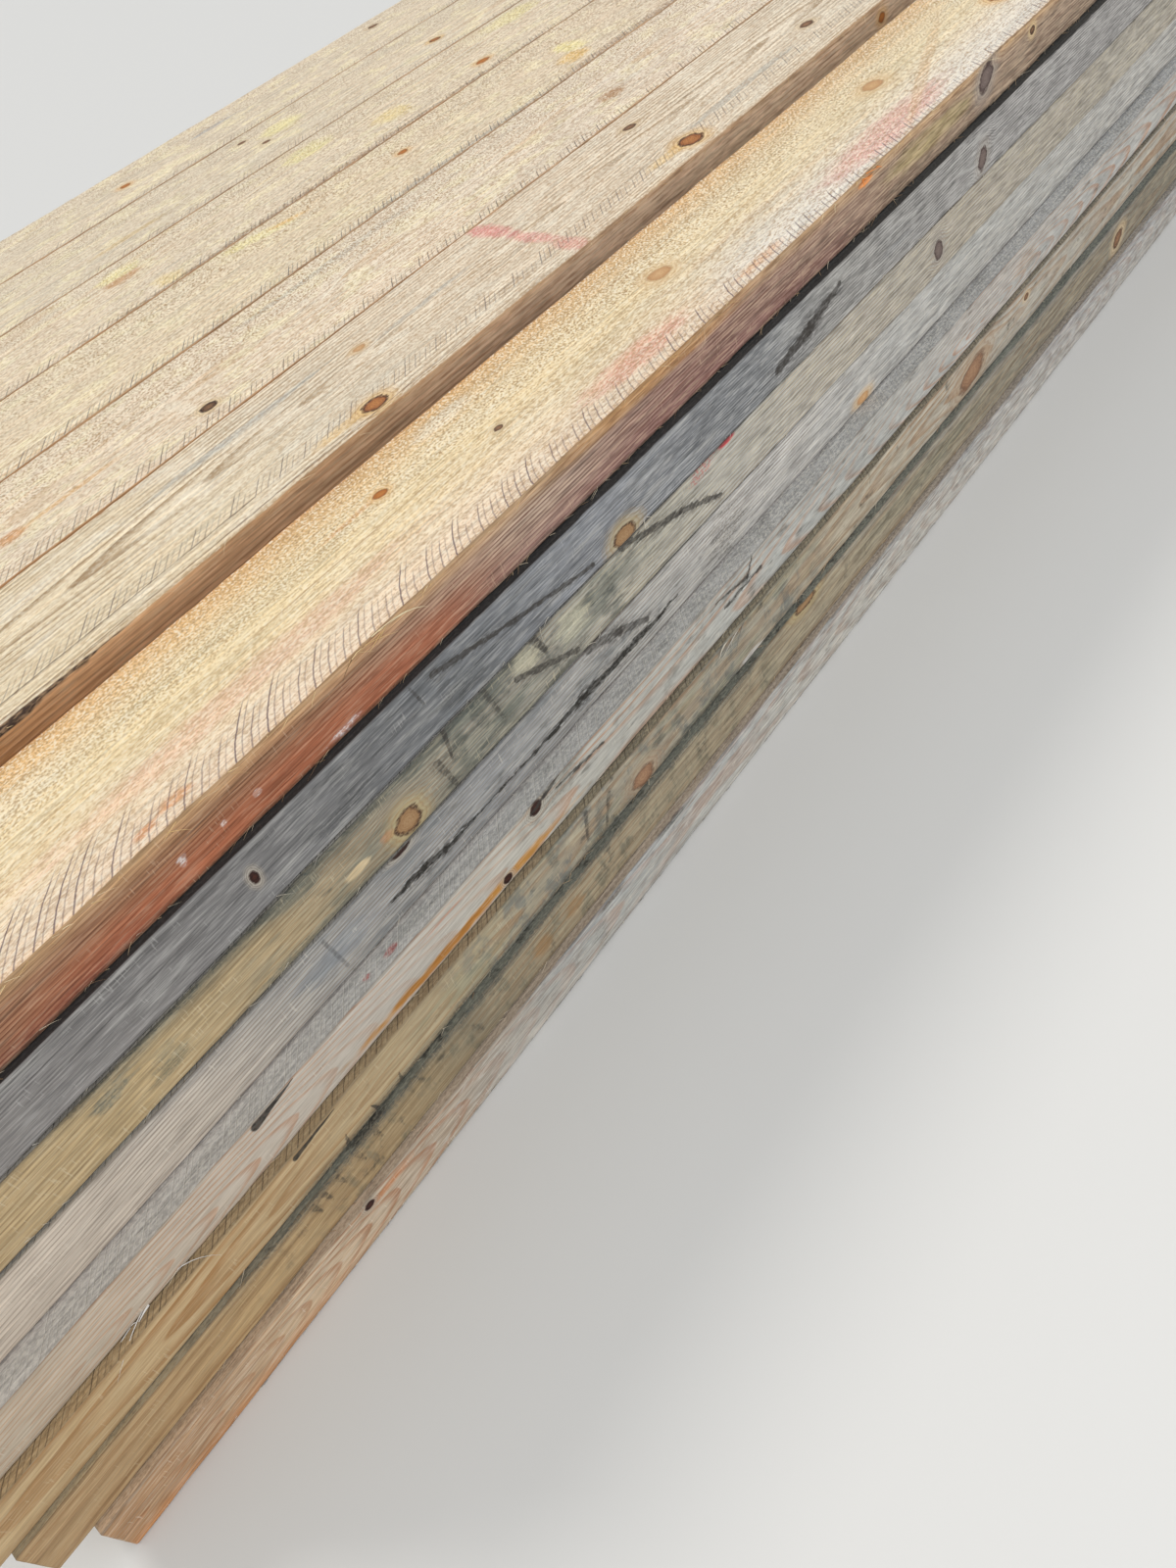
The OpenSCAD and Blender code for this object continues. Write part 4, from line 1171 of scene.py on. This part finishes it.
@dataclass
class Board:
    """One sawn board: its outline from above and the surface drawn on it."""

    course: int
    number: int
    near_right: Pair
    near_left: Pair
    far_right: Pair
    far_left: Pair
    crook: float
    bottom: float
    thick: float
    mirrored: bool = False
    wanes: List[Wane] = field(default_factory=list)

    @property
    def seed(self) -> int:
        """A whole number of the board's own."""
        return self.course * 7 + self.number

    @property
    def width(self) -> float:
        """Width across the near end."""
        return self.near_left[1] - self.near_right[1]

    def heart(self) -> Tuple[float, float, float]:
        """Where the log's heart lies, across and up from the board's corner, and its phase."""
        across = -0.05 + 0.25 * ((self.seed * 0.618) % 1.0)
        up = (-0.030 - 0.07 * ((self.seed * 0.377) % 1.0)) if self.seed % 3 else 0.10
        return across, up, (self.seed * 0.731) % 1.0 + self.seed

    def right_side(self, share: np.ndarray) -> np.ndarray:
        """The right side's y: straight from end to end, less a crook that is most halfway."""
        straight = self.near_right[1] + (self.far_right[1] - self.near_right[1]) * share
        return straight - self.crook * (1.0 - (2.0 * share - 1.0) ** 2)

    def stations(self, weave: Weave) -> np.ndarray:
        """Shares along the board: fine as far as the camera sees, then coarse, close at the ends."""
        near, far = self.near_right[0], self.far_right[0]
        change = SEEN_TO_X
        first = np.arange(near + 0.004, change, weave.fine)
        second = np.arange(change, far - 0.004, weave.coarse)
        x = np.concatenate(([near, near + 0.0012], first, second, [far - 0.0012, far]))
        return (x - near) / (far - near)

    def arris(self, x: np.ndarray, which: int) -> np.ndarray:
        """Radius of one arris along the board: small, uneven, with a few torn chips."""
        uneven = lattice(x * 16.0, np.zeros_like(x), self.seed * 4 + which)
        chips = lattice(x * 95.0, np.zeros_like(x), self.seed * 4 + which + 300)
        chance = lattice(x * 7.0, np.zeros_like(x), self.seed * 4 + which + 600)
        torn = np.clip(chips - 0.66, 0.0, 1.0) * np.clip(chance - 0.35, 0.0, 1.0) * 0.008
        return 0.0007 + 0.0014 * uneven * uneven + torn

    def section(self, x: np.ndarray, weave: Weave) -> Tuple[np.ndarray, ...]:
        """The board's section at every station.

        It is a rectangle whose four corners are quarter circles of the arris radius:
        the top from right to left, the left side down, the bottom back and the right side up.

        Args:
            x: Stations along the board.
            weave: Points on each side.

        Returns:
            Across, up, outward direction across and up, and each stretch's slot.
        """
        width, height = self.width, self.thick
        radii = [self.arris(x, which)[:, None] for which in range(4)]
        right_top, left_top, left_low, right_low = radii
        turn = np.radians((22.5, 45.0, 67.5))[None, :]
        sine, cosine = np.sin(turn), np.cos(turn)

        def shares(count: int) -> np.ndarray:
            """Shares along a side, closer together beside its arrises."""
            inner = np.linspace(0.03, 0.97, max(count - 4, 2))
            return np.concatenate(([0.0, 0.01], inner, [0.99, 1.0]))[None, :]

        parts = []
        top = shares(weave.wide_points)
        parts.append((right_top + (width - right_top - left_top) * top, height + 0.0 * top, 0.0, 1.0, 0))
        parts.append((width - left_top + left_top * sine, height - left_top + left_top * cosine,
                      sine, cosine, 1))
        side = shares(weave.left_points)
        fall = height - left_top - (height - left_top - left_low) * side
        parts.append((width + 0.0 * side, fall, 1.0, 0.0, 1))
        parts.append((width - left_low + left_low * cosine, left_low - left_low * sine,
                      cosine, -sine, 1))
        under = shares(weave.under_points)
        back = width - left_low - (width - left_low - right_low) * under
        parts.append((back, 0.0 * under, 0.0, -1.0, 0))
        parts.append((right_low - right_low * sine, right_low - right_low * cosine,
                      -sine, -cosine, 1))
        side = shares(weave.right_points)
        climb = right_low + (height - right_top - right_low) * side
        parts.append((0.0 * side, climb, -1.0, 0.0, 1))
        parts.append((right_top - right_top * cosine, height - right_top + right_top * sine,
                      -cosine, sine, 1))
        columns = [[], [], [], []]
        slots = []
        for across, up, out_across, out_up, slot in parts:
            count = np.broadcast(across, up).shape[1]
            shape = (len(x), count)
            for column, value in zip(columns, (across, up, out_across, out_up)):
                column.append(np.broadcast_to(value, shape))
            slots.append(np.full(count, slot))
        across, up, out_across, out_up = (np.concatenate(column, axis=1) for column in columns)
        return across, up, out_across, out_up, np.concatenate(slots)

    def waned(self, travelled: np.ndarray, across: np.ndarray, up: np.ndarray) -> Tuple[np.ndarray, ...]:
        """Moves points of a waney arris in to the log's round outside.

        The circle goes through the wane's two marks on face and edge at the waney end, and
        moves towards the arris along the run, so that the wane dies out.

        Args:
            travelled: Distance of each station from the near end.
            across: Distance of each point from the board's right side.
            up: Height of each point in the board.

        Returns:
            Across and up after the move, and how far each point is in the bark.
        """
        bark = np.zeros_like(across)
        total = self.far_right[0] - self.near_right[0]
        for wane in self.wanes:
            face, edge = WANE_FACE * wane.depth, WANE_EDGE * wane.depth
            chord = math.hypot(face, edge)
            reach = math.sqrt(LOG_RADIUS ** 2 - chord ** 2 / 4.0)
            middle = np.array((face / 2 + reach * edge / chord, edge / 2 + reach * face / chord))
            off = np.linalg.norm(middle)
            run = (travelled if wane.near else total - travelled) / (PILE_LENGTH * wane.length)
            share = (1.0 - (off - LOG_RADIUS) * np.clip(run, 0.0, 1.0) / off)[:, None]
            rough = 0.0012 * lattice(travelled[:, None] * 60.0 + 0.0 * up, (across - up) * 150.0, 77)
            radius = LOG_RADIUS - rough
            from_side = across if wane.right else self.width - across
            from_face = self.thick - up if wane.top else up
            to_x, to_y = from_side - middle[0] * share, from_face - middle[1] * share
            distance = np.hypot(to_x, to_y)
            corner = (from_side < face * 1.2) & (from_face < edge * 1.2) & (run[:, None] < 1.0)
            cut = corner & (distance > radius)
            factor = np.where(cut, radius / distance, 1.0)
            new_side = middle[0] * share + to_x * factor
            new_face = middle[1] * share + to_y * factor
            across = np.where(cut, new_side if wane.right else self.width - new_side, across)
            up = np.where(cut, self.thick - new_face if wane.top else new_face, up)
            deep = np.clip((distance - radius) / 0.0012, 0.0, 1.0)
            bark = np.maximum(bark, np.where(corner, deep, 0.0))
        return across, up, bark

    def surface(self, weave: Weave) -> Dict[str, np.ndarray]:
        """The board's closed surface: sections carried along it, and ends of shrinking loops.

        Relief only goes inward, so that the board keeps its size and its neighbours theirs.

        Args:
            weave: How finely the surface is drawn.

        Returns:
            Points, four-cornered and three-cornered faces, their slots and the attributes.
        """
        share = self.stations(weave)
        near_x, far_x = self.near_right[0], self.far_right[0]
        x = near_x + (far_x - near_x) * share
        across, up, out_across, out_up, slots = self.section(x, weave)
        along = x[:, None] + 0.0 * across
        ring = across - up
        depth = 0.00040 * lattice(along * 9.0, ring * 55.0, self.seed)
        depth = depth + 0.00034 * lattice(along * 62.0, ring * 240.0, self.seed + 900)
        chamfer = np.zeros_like(x)
        chamfer[0] = chamfer[-1] = 0.0006
        depth = depth + chamfer[:, None]
        across, up = across - out_across * depth, up - out_up * depth
        across, up, bark = self.waned(x - near_x, across, up)
        body = self.place(share[:, None] + 0.0 * across, across, up)
        local = np.stack((along, across, up), axis=-1)
        points, locals_, barks = [body.reshape(-1, 3)], [local.reshape(-1, 3)], [bark.ravel()]
        rows, loop = across.shape
        index = np.arange(rows * loop).reshape(rows, loop)
        turned = np.roll(index, -1, axis=1)
        quads = np.stack((index[:-1], index[1:], turned[1:], turned[:-1]), axis=-1).reshape(-1, 4)
        quad_slots = np.tile(slots, rows - 1)
        triangles = []
        start = rows * loop
        for row, forward in ((0, True), (rows - 1, False)):
            middle = np.array((self.width / 2, self.thick / 2))
            edge_loop = index[row]
            for step in range(1, weave.rings + 1):
                keep = (0.972, 0.86, 0.60, 0.30)[step - 1]
                inner_a = middle[0] + (across[row] - middle[0]) * keep
                inner_u = middle[1] + (up[row] - middle[1]) * keep
                sunk = 0.0007 * lattice(inner_a * 130.0, inner_u * 170.0, self.seed + row)
                sunk = sunk if forward else -sunk
                end = self.place(np.full(loop, share[row]), inner_a, inner_u)
                end[:, 0] += sunk
                ids = np.arange(start, start + loop)
                start += loop
                points.append(end)
                locals_.append(np.stack((np.full(loop, x[row]), inner_a, inner_u), axis=-1))
                barks.append(np.zeros(loop))
                corners = (edge_loop, np.roll(edge_loop, -1), np.roll(ids, -1), ids)
                cap = np.stack(corners if forward else corners[::-1], axis=-1)
                quads = np.concatenate((quads, cap))
                quad_slots = np.concatenate((quad_slots, np.full(loop, 2)))
                edge_loop = ids
            points.append(self.place(share[row], middle[0], middle[1])[None, :])
            locals_.append(np.array(((x[row], middle[0], middle[1]),)))
            barks.append(np.zeros(1))
            centre = np.full(loop, start)
            start += 1
            fan = (edge_loop, np.roll(edge_loop, -1), centre)
            triangles.append(np.stack(fan if forward else fan[::-1], axis=-1))
        local = np.concatenate(locals_)
        if self.mirrored:
            local[:, 0] = -local[:, 0] - 0.05
        heart = np.tile(np.array(self.heart()), (len(local), 1))
        return {"points": np.concatenate(points), "quads": quads, "slots": quad_slots,
                "triangles": np.concatenate(triangles), "place": local, "heart": heart,
                "bark": np.concatenate(barks), "thick": np.full(len(local), self.thick)}

    def place(self, share: Any, across: Any, up: Any) -> np.ndarray:
        """Puts points of the board into the stack.

        Args:
            share: Share of the way from the near end to the far end.
            across: Distance from the board's right side.
            up: Height above the board's underside.

        Returns:
            Points in metres.
        """
        part = across / self.width
        near = self.near_right[0] + (self.near_left[0] - self.near_right[0]) * part
        far = self.far_right[0] + (self.far_left[0] - self.far_right[0]) * part
        x = near + (far - near) * share
        y = self.right_side(share) + across
        return np.stack((x, y, self.bottom + up + 0.0 * y), axis=-1)

    def arris_point(self, x: np.ndarray, right: bool, top: bool) -> np.ndarray:
        """Points on one arris at the given places along the board."""
        share = (x - self.near_right[0]) / (self.far_right[0] - self.near_right[0])
        across = np.full_like(x, 0.0 if right else self.width)
        return self.place(share, across, np.full_like(x, self.thick if top else 0.0))


def mesh_object(name: str, points: np.ndarray, faces: Sequence[np.ndarray], slots: np.ndarray,
                materials: Sequence[bpy.types.Material], attributes: Dict[str, np.ndarray]
                ) -> bpy.types.Object:
    """Puts whole arrays into a new smooth mesh object at the origin.

    Args:
        name: Name of the object.
        points: Points in metres.
        faces: Arrays of corners, one array for each number of corners.
        slots: Material slot of every face.
        materials: The slots' materials.
        attributes: Values at the points: vectors or single numbers.

    Returns:
        The object.
    """
    mesh = bpy.data.meshes.new(name)
    mesh.vertices.add(len(points))
    mesh.vertices.foreach_set("co", points.astype(np.float32).ravel())
    corners = np.concatenate([group.ravel() for group in faces])
    sizes = np.concatenate([np.full(len(group), group.shape[1]) for group in faces])
    starts = np.concatenate(([0], np.cumsum(sizes)[:-1]))
    mesh.loops.add(len(corners))
    mesh.loops.foreach_set("vertex_index", corners.astype(np.int32))
    mesh.polygons.add(len(sizes))
    mesh.polygons.foreach_set("loop_start", starts.astype(np.int32))
    mesh.polygons.foreach_set("material_index", slots.astype(np.int32))
    mesh.polygons.foreach_set("use_smooth", np.ones(len(sizes), dtype=bool))
    for material in materials:
        mesh.materials.append(material)
    for key, values in attributes.items():
        vector = values.ndim == 2
        layer = mesh.attributes.new(key, "FLOAT_VECTOR" if vector else "FLOAT", "POINT")
        layer.data.foreach_set("vector" if vector else "value", values.astype(np.float32).ravel())
    mesh.update(calc_edges=True)
    mesh.validate()
    made = bpy.data.objects.new(name, mesh)
    bpy.context.scene.collection.objects.link(made)
    return made


def dressed(name: str, boards: Sequence[Board], weave: Weave, node: str,
            materials: Sequence[bpy.types.Material]) -> bpy.types.Object:
    """Draws one or more boards as one piece that stands for its course's solids.

    Args:
        name: Name of the piece.
        boards: The boards.
        weave: How finely they are drawn.
        node: The course that they belong to.
        materials: Face, edge and end materials.

    Returns:
        The piece.
    """
    surfaces = [board.surface(weave) for board in boards]
    offsets = np.cumsum([0] + [len(surface["points"]) for surface in surfaces[:-1]])
    quads = np.concatenate([s["quads"] + offset for s, offset in zip(surfaces, offsets)])
    triangles = np.concatenate([s["triangles"] + offset for s, offset in zip(surfaces, offsets)])
    slots = np.concatenate([s["slots"] for s in surfaces] + [np.full(len(triangles), 2)])
    joined = {key: np.concatenate([s[key] for s in surfaces])
              for key in ("points", "place", "heart", "bark", "thick")}
    piece = mesh_object(name, joined.pop("points"), (quads, triangles), slots, materials, joined)
    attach(piece, "root")
    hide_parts(node)
    LOG.info("%s: %d faces", name, len(slots))
    return piece


@dataclass
class Pile:
    """The boards of all eight courses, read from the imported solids, and their pieces."""

    courses: int = 8
    end_reach: float = 0.02
    top_weave: Weave = Weave(0.0068, 0.019, 36, 7, 12, 6)
    pushed_weave: Weave = Weave(0.0060, 0.017, 38, 7, 14, 7)
    side_weave: Weave = Weave(0.0060, 0.017, 14, 6, 14, 5)
    left_weave: Weave = Weave(0.014, 0.014, 8, 6, 5, 12)
    inner_weave: Weave = Weave(0.06, 0.06, 9, 8, 6, 6)

    def boards(self, course: int) -> List[Board]:
        """Reads one course's boards from its solids, from the right to the left.

        Points at one place count as one, and triangles that share a point belong to one
        board. Its outline is the outermost points near each end, and its crook is how far
        the right side's middle stands out from the line between its ends.

        Args:
            course: Number of the course, 1 at the bottom.

        Returns:
            The boards.
        """
        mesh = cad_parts[f"course_{course}"].data
        points = np.empty(len(mesh.vertices) * 3)
        mesh.vertices.foreach_get("co", points)
        corners = np.empty(len(mesh.loops), dtype=np.int64)
        mesh.loops.foreach_get("vertex_index", corners)
        keys, same = np.unique(np.round(points.reshape(-1, 3) * 1e5).astype(np.int64), axis=0,
                               return_inverse=True)
        triangles = same.ravel()[corners].reshape(-1, 3)
        label = np.arange(len(keys))
        settled = False
        while not settled:
            lowest = label.copy()
            np.minimum.at(lowest, triangles.ravel(), np.repeat(label[triangles].min(axis=1), 3))
            settled = bool((lowest == label).all())
            label = lowest
        solids = [keys[label == mark] / 1e5 for mark in np.unique(label)]
        solids.sort(key=lambda solid: solid[:, 1].mean())
        return [self.outline(course - 1, number, solid) for number, solid in enumerate(solids)]

    def outline(self, course: int, number: int, solid: np.ndarray) -> Board:
        """Finds a board's four corners and its crook."""
        near = solid[solid[:, 0] < solid[:, 0].min() + self.end_reach]
        far = solid[solid[:, 0] > solid[:, 0].max() - self.end_reach]
        corners = [tuple(group[pick(group[:, 1])][:2]) for group, pick in
                   ((near, np.argmin), (near, np.argmax), (far, np.argmin), (far, np.argmax))]
        middle_x = (solid[:, 0].min() + solid[:, 0].max()) / 2
        middle = solid[np.abs(solid[:, 0] - middle_x) < self.end_reach]
        straight = (corners[0][1] + corners[2][1]) / 2
        crook = max(straight - middle[:, 1].min(), 0.0) if len(middle) else 0.0
        found = [wane for wane in WANES if wane.course == course and wane.board == number]
        low, high = float(solid[:, 2].min()), float(solid[:, 2].max())
        return Board(course, number, *corners, crook=crook, bottom=low, thick=high - low,
                     wanes=found)

    def build(self) -> List[List[Board]]:
        """Makes every piece of the stack and returns the boards by course."""
        tops = [finish.material() for finish in top_finishes()]
        edges = {name: finish.material() for name, finish in edge_finishes().items()}
        plain = {name: finish.material() for name, finish in plain_finishes().items()}
        strips = {name: finish.material() for name, finish in strip_finishes().items()}
        stack = [self.boards(course) for course in range(1, self.courses + 1)]
        for course, boards in enumerate(stack[:-1], start=1):
            node = f"course_{course}"
            slot = "grey_side_board" if course == 7 else f"weathered_side_board_{course}"
            ends = (plain["weathered_face"], edges[node], plain["weathered_end"])
            strip = strips.get(node, plain["weathered_face"])
            dressed(f"right_board_{course}", boards[:1], self.side_weave, node,
                    (strip, *ends[1:]))
            dressed(f"inner_boards_{course}", boards[1:-1], self.inner_weave, node, ends)
            boards[-1].mirrored = True
            other = edges[f"course_{(course + 2) % 7 + 1}"]
            dressed(f"left_board_{course}", boards[-1:], self.left_weave, node,
                    (plain["weathered_face"], other, plain["weathered_end"]))
        for board, face in zip(stack[-1], tops):
            pushed = board.number == 0
            edge = edges["course_8" if pushed else "fresh"]
            dressed(f"top_board_{board.number + 1}", [board],
                    self.pushed_weave if pushed else self.top_weave, "course_8",
                    (face, edge, plain["fresh_end"]))
        return stack


@dataclass(frozen=True)
class FibreSite:
    """A stretch of one arris with torn fibres."""

    course: int
    board: int
    right: bool
    top: bool
    start: float
    stop: float
    count: int
    length: float
    thick: float
    tints: Tuple[Rgb, ...]
    lean_out: float = 0.25
    lean_up: float = -0.1


@dataclass
class TornFibres:
    """Splinters and fibres that the saw left along the arrises, as thin tapering spikes."""

    name: str
    slot: str
    node: str
    sites: Tuple[FibreSite, ...]
    seed: int = 11
    steps: int = 6

    def spikes(self, roots: np.ndarray, ways: np.ndarray, curls: np.ndarray,
               lengths: np.ndarray, thick: np.ndarray) -> Tuple[np.ndarray, np.ndarray]:
        """Three-sided spikes along parabolas, with radius falling to a point.

        Args:
            roots: Where each spike starts.
            ways: Its first direction.
            curls: The direction that it bends to.
            lengths: Its length.
            thick: Its radius at the root.

        Returns:
            Points and triangles.
        """
        share = np.linspace(0.0, 1.0, self.steps)[None, :, None]
        line = roots[:, None] + lengths[:, None, None] * (ways[:, None] * share
                                                         + curls[:, None] * share ** 2)
        across = np.cross(ways, (0.0, 0.0, 1.0))
        across /= np.linalg.norm(across, axis=1)[:, None] + 1e-9
        above = np.cross(across, ways)
        turn = np.radians((90.0, 210.0, 330.0))
        ring = (np.cos(turn)[None, :, None] * across[:, None]
                + 0.45 * np.sin(turn)[None, :, None] * above[:, None])
        radius = thick[:, None, None, None] * (1.0 - share[..., None] * 0.96) ** 0.7
        points = line[:, :, None] + ring[:, None] * radius
        count = len(roots)
        base = np.arange(count)[:, None, None] * self.steps * 3
        step = np.arange(self.steps - 1)[None, :, None] * 3
        corner = np.arange(3)[None, None, :]
        here, there = base + step + corner, base + step + (corner + 1) % 3
        sides = np.stack((here, there, there + 3, here, there + 3, here + 3), axis=-1).reshape(-1, 3)
        root = base[:, 0, 0][:, None] + np.array((0, 2, 1))
        tip = base[:, 0, 0][:, None] + (self.steps - 1) * 3 + np.array((0, 1, 2))
        return points.reshape(-1, 3), np.concatenate((sides, root, tip))

    def build(self, stack: Sequence[Sequence[Board]], box: Any) -> bpy.types.Object:
        """Makes the fibres of all the sites as one piece, kept inside the stack's box."""
        rng = np.random.default_rng(self.seed)
        points, faces, tints = [], [], []
        total = 0
        for site in self.sites:
            board = stack[site.course][site.board]
            x = np.sort(rng.uniform(site.start, site.stop, site.count))
            roots = board.arris_point(x, site.right, site.top)
            out = -1.0 if site.right else 1.0
            roots[:, 1] -= out * rng.uniform(0.0003, 0.0018, site.count)
            roots[:, 2] += (-1.0 if site.top else 1.0) * rng.uniform(0.0004, 0.0028, site.count)
            spread = rng.normal(size=(site.count, 3))
            heading = np.where(rng.random(site.count) < 0.5, 1.0, -1.0)
            ways = np.stack((heading, out * site.lean_out * (0.4 + np.abs(spread[:, 0])),
                             site.lean_up + 0.12 * spread[:, 1]), axis=-1)
            ways /= np.linalg.norm(ways, axis=1)[:, None]
            curls = np.stack((0.15 * spread[:, 2], out * 0.12 * np.abs(spread[:, 1]),
                              -0.10 + 0.12 * spread[:, 0]), axis=-1)
            lengths = site.length * rng.uniform(0.35, 1.25, site.count) ** 1.5
            thick = site.thick * rng.uniform(0.5, 1.3, site.count)
            made, triangles = self.spikes(roots, ways, curls, lengths, thick)
            points.append(made)
            faces.append(triangles + total)
            total += len(made)
            choice = rng.integers(0, len(site.tints), site.count)
            shade = rng.uniform(0.8, 1.1, site.count)[:, None]
            tints.append(np.repeat(np.array(site.tints)[choice] * shade, self.steps * 3, axis=0))
        whole = np.clip(np.concatenate(points), np.array(box[0]) + 1e-5, np.array(box[1]) - 1e-5)
        triangles = np.concatenate(faces)
        piece = mesh_object(self.name, whole, (triangles,), np.zeros(len(triangles)),
                            (self.material(),), {"tint": np.concatenate(tints)})
        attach(piece, "root")
        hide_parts(self.node)
        LOG.info("%s: %d faces", self.name, len(triangles))
        return piece

    def material(self) -> bpy.types.Material:
        """Torn wood in each fibre's own tint, with fine streaks."""
        shade = Shade(self.name)
        tint = shade.node("ShaderNodeAttribute", output=0, attribute_name="tint")
        place = shade.node("ShaderNodeTexCoord", output=3)
        streak = shade.noise(place, (300.0, 1800.0, 1800.0), 2.0)
        colour = shade.scaled(tint, (streak - 0.5) * 0.5 + 1.0)
        return shade.finish(colour, 0.8, streak * 0.05)


def fibre_pieces() -> Tuple[TornFibres, TornFibres]:
    """The torn fibres of the top course and those of the courses under it."""
    pale = (paint(246, 228, 188), paint(238, 210, 158), paint(226, 190, 132))
    brown = (shady(196, 170, 136), shady(158, 128, 98), shady(210, 196, 172))
    grey = (shady(196, 190, 178), shady(150, 144, 134), shady(214, 206, 188))
    top = TornFibres("torn_fibres_top", "fresh_sawn_top", "course_8", (
        FibreSite(7, 0, True, True, -1.50, 0.20, 120, 0.010, 0.00035, pale),
        FibreSite(7, 0, True, True, -1.03, -0.98, 6, 0.030, 0.0008, pale, 0.12, -0.02),
        FibreSite(7, 0, True, True, -0.44, -0.41, 4, 0.022, 0.0010, (paint(226, 140, 72),), 0.3),
        FibreSite(7, 0, True, False, -1.50, 0.90, 220, 0.010, 0.00030, brown, 0.3),
        FibreSite(7, 0, False, True, -1.50, 0.40, 60, 0.009, 0.00030, pale),
        FibreSite(7, 1, True, True, -1.40, 0.60, 120, 0.009, 0.00032, pale),
        FibreSite(7, 6, False, False, -1.45, 1.45, 120, 0.010, 0.00035, brown)))
    side = TornFibres("torn_fibres_side", "weathered_side_board_1", "course_1", (
        FibreSite(6, 0, True, False, -1.50, 0.90, 110, 0.009, 0.00030, grey),
        FibreSite(5, 0, True, False, -1.50, 0.90, 110, 0.008, 0.00030, grey),
        FibreSite(4, 0, True, False, -1.50, 0.90, 90, 0.008, 0.00030, grey),
        FibreSite(3, 0, True, False, -1.50, 0.90, 100, 0.009, 0.00030, brown),
        FibreSite(2, 0, True, False, -1.50, 0.90, 100, 0.009, 0.00030, brown),
        FibreSite(2, 0, True, True, -0.76, -0.72, 4, 0.020, 0.0008, grey, 0.2),
        FibreSite(3, 0, True, False, -1.40, -1.34, 5, 0.030, 0.0010, (paint(236, 232, 226),), 0.15),
        FibreSite(1, 0, True, False, -1.50, 0.90, 110, 0.009, 0.00032, brown),
        FibreSite(0, 0, True, False, -1.40, 0.90, 260, 0.010, 0.00040, grey, 0.35, 0.02)), seed=23)
    return top, side


@dataclass
class Studio:
    """Floor, light and the camera at the photograph's place."""

    eye: Tuple[float, float, float] = (-1.2615, -1.00265, 0.7217)
    right: Tuple[float, float, float] = (0.59393, -0.76452, -0.25052)
    up: Tuple[float, float, float] = (0.69292, 0.32789, 0.64214)
    ahead: Tuple[float, float, float] = (0.40879, 0.55498, -0.72450)
    lens: float = 25.0875
    sky_strength: float = 0.74
    key_strength: float = 1.15
    fill_power: float = 26.0
    floor_colour: Rgb = paint(222, 221, 218)

    def camera(self) -> None:
        """Stands the camera where the photograph was taken from, on its three directions."""
        data = bpy.data.cameras.new("photograph_camera")
        data.sensor_fit = "AUTO"
        data.sensor_width = 36.0
        data.lens = self.lens
        data.clip_start = 0.01
        camera = bpy.data.objects.new("photograph_camera", data)
        back = [-part for part in self.ahead]
        rows = [[*three, place] for *three, place in zip(self.right, self.up, back, self.eye)]
        camera.matrix_world = Matrix([*rows, [0.0, 0.0, 0.0, 1.0]])
        bpy.context.scene.collection.objects.link(camera)
        bpy.context.scene.camera = camera

    def floor(self) -> None:
        """Lays a plain pale floor, a flat sheet of nine metres each way from the middle."""
        reach = 9.0
        corner = np.array(((-1, -1), (1, -1), (1, 1), (-1, 1))) * reach
        points = np.column_stack((corner, np.zeros(4)))
        shade = Shade("plain_floor")
        surface = shade.node("ShaderNodeBsdfPrincipled", {
            "Base Color": (*self.floor_colour, 1.0), "Roughness": 0.9})
        shade.node("ShaderNodeOutputMaterial", {0: surface})
        sheet = mesh_object("plain_floor", points, (np.array(((0, 1, 2, 3),)),), np.zeros(1),
                            (shade.material,), {})

    def lights(self) -> None:
        """Soft light all round, a soft key from the left and behind, and a fill on the sides."""
        world = bpy.data.worlds.new("soft_studio")
        world.use_nodes = True
        background = world.node_tree.nodes["Background"]
        background.inputs["Color"].default_value = (0.96, 0.98, 1.0, 1.0)
        background.inputs["Strength"].default_value = self.sky_strength
        bpy.context.scene.world = world
        key = bpy.data.lights.new("key", "SUN")
        key.energy = self.key_strength
        key.angle = math.radians(14.0)
        key.color = (1.0, 0.975, 0.94)
        self.aim(key, (-1.1, 1.8, 2.0), (0.0, 0.0, 0.0))
        fill = bpy.data.lights.new("side_fill", "AREA")
        fill.energy = self.fill_power
        fill.size = 2.5
        self.aim(fill, (-0.8, -3.0, 1.2), (-0.5, -0.5, 0.15))

    def aim(self, lamp: bpy.types.Light, place: Sequence[float], target: Sequence[float]) -> None:
        """Places a lamp and turns it to its target."""
        holder = bpy.data.objects.new(lamp.name, lamp)
        away = np.array(place) - np.array(target)
        away /= np.linalg.norm(away)
        side = np.cross((0.0, 0.0, 1.0), away)
        side /= np.linalg.norm(side)
        upward = np.cross(away, side)
        rows = [[side[i], upward[i], away[i], place[i]] for i in range(3)]
        holder.matrix_world = Matrix([*rows, [0.0, 0.0, 0.0, 1.0]])
        bpy.context.scene.collection.objects.link(holder)

    def build(self) -> None:
        """Sets the view up and makes camera, floor and lights."""
        bpy.context.scene.view_settings.view_transform = "Standard"
        self.camera()
        self.floor()
        self.lights()


def main() -> None:
    """Builds the studio, the stack and its torn fibres."""
    logging.basicConfig(level=logging.INFO, format="%(name)s %(message)s")
    Studio().build()
    stack = Pile().build()
    for fibres in fibre_pieces():
        fibres.build(stack, CAD_BOX)


if __name__ == "__main__":
    main()
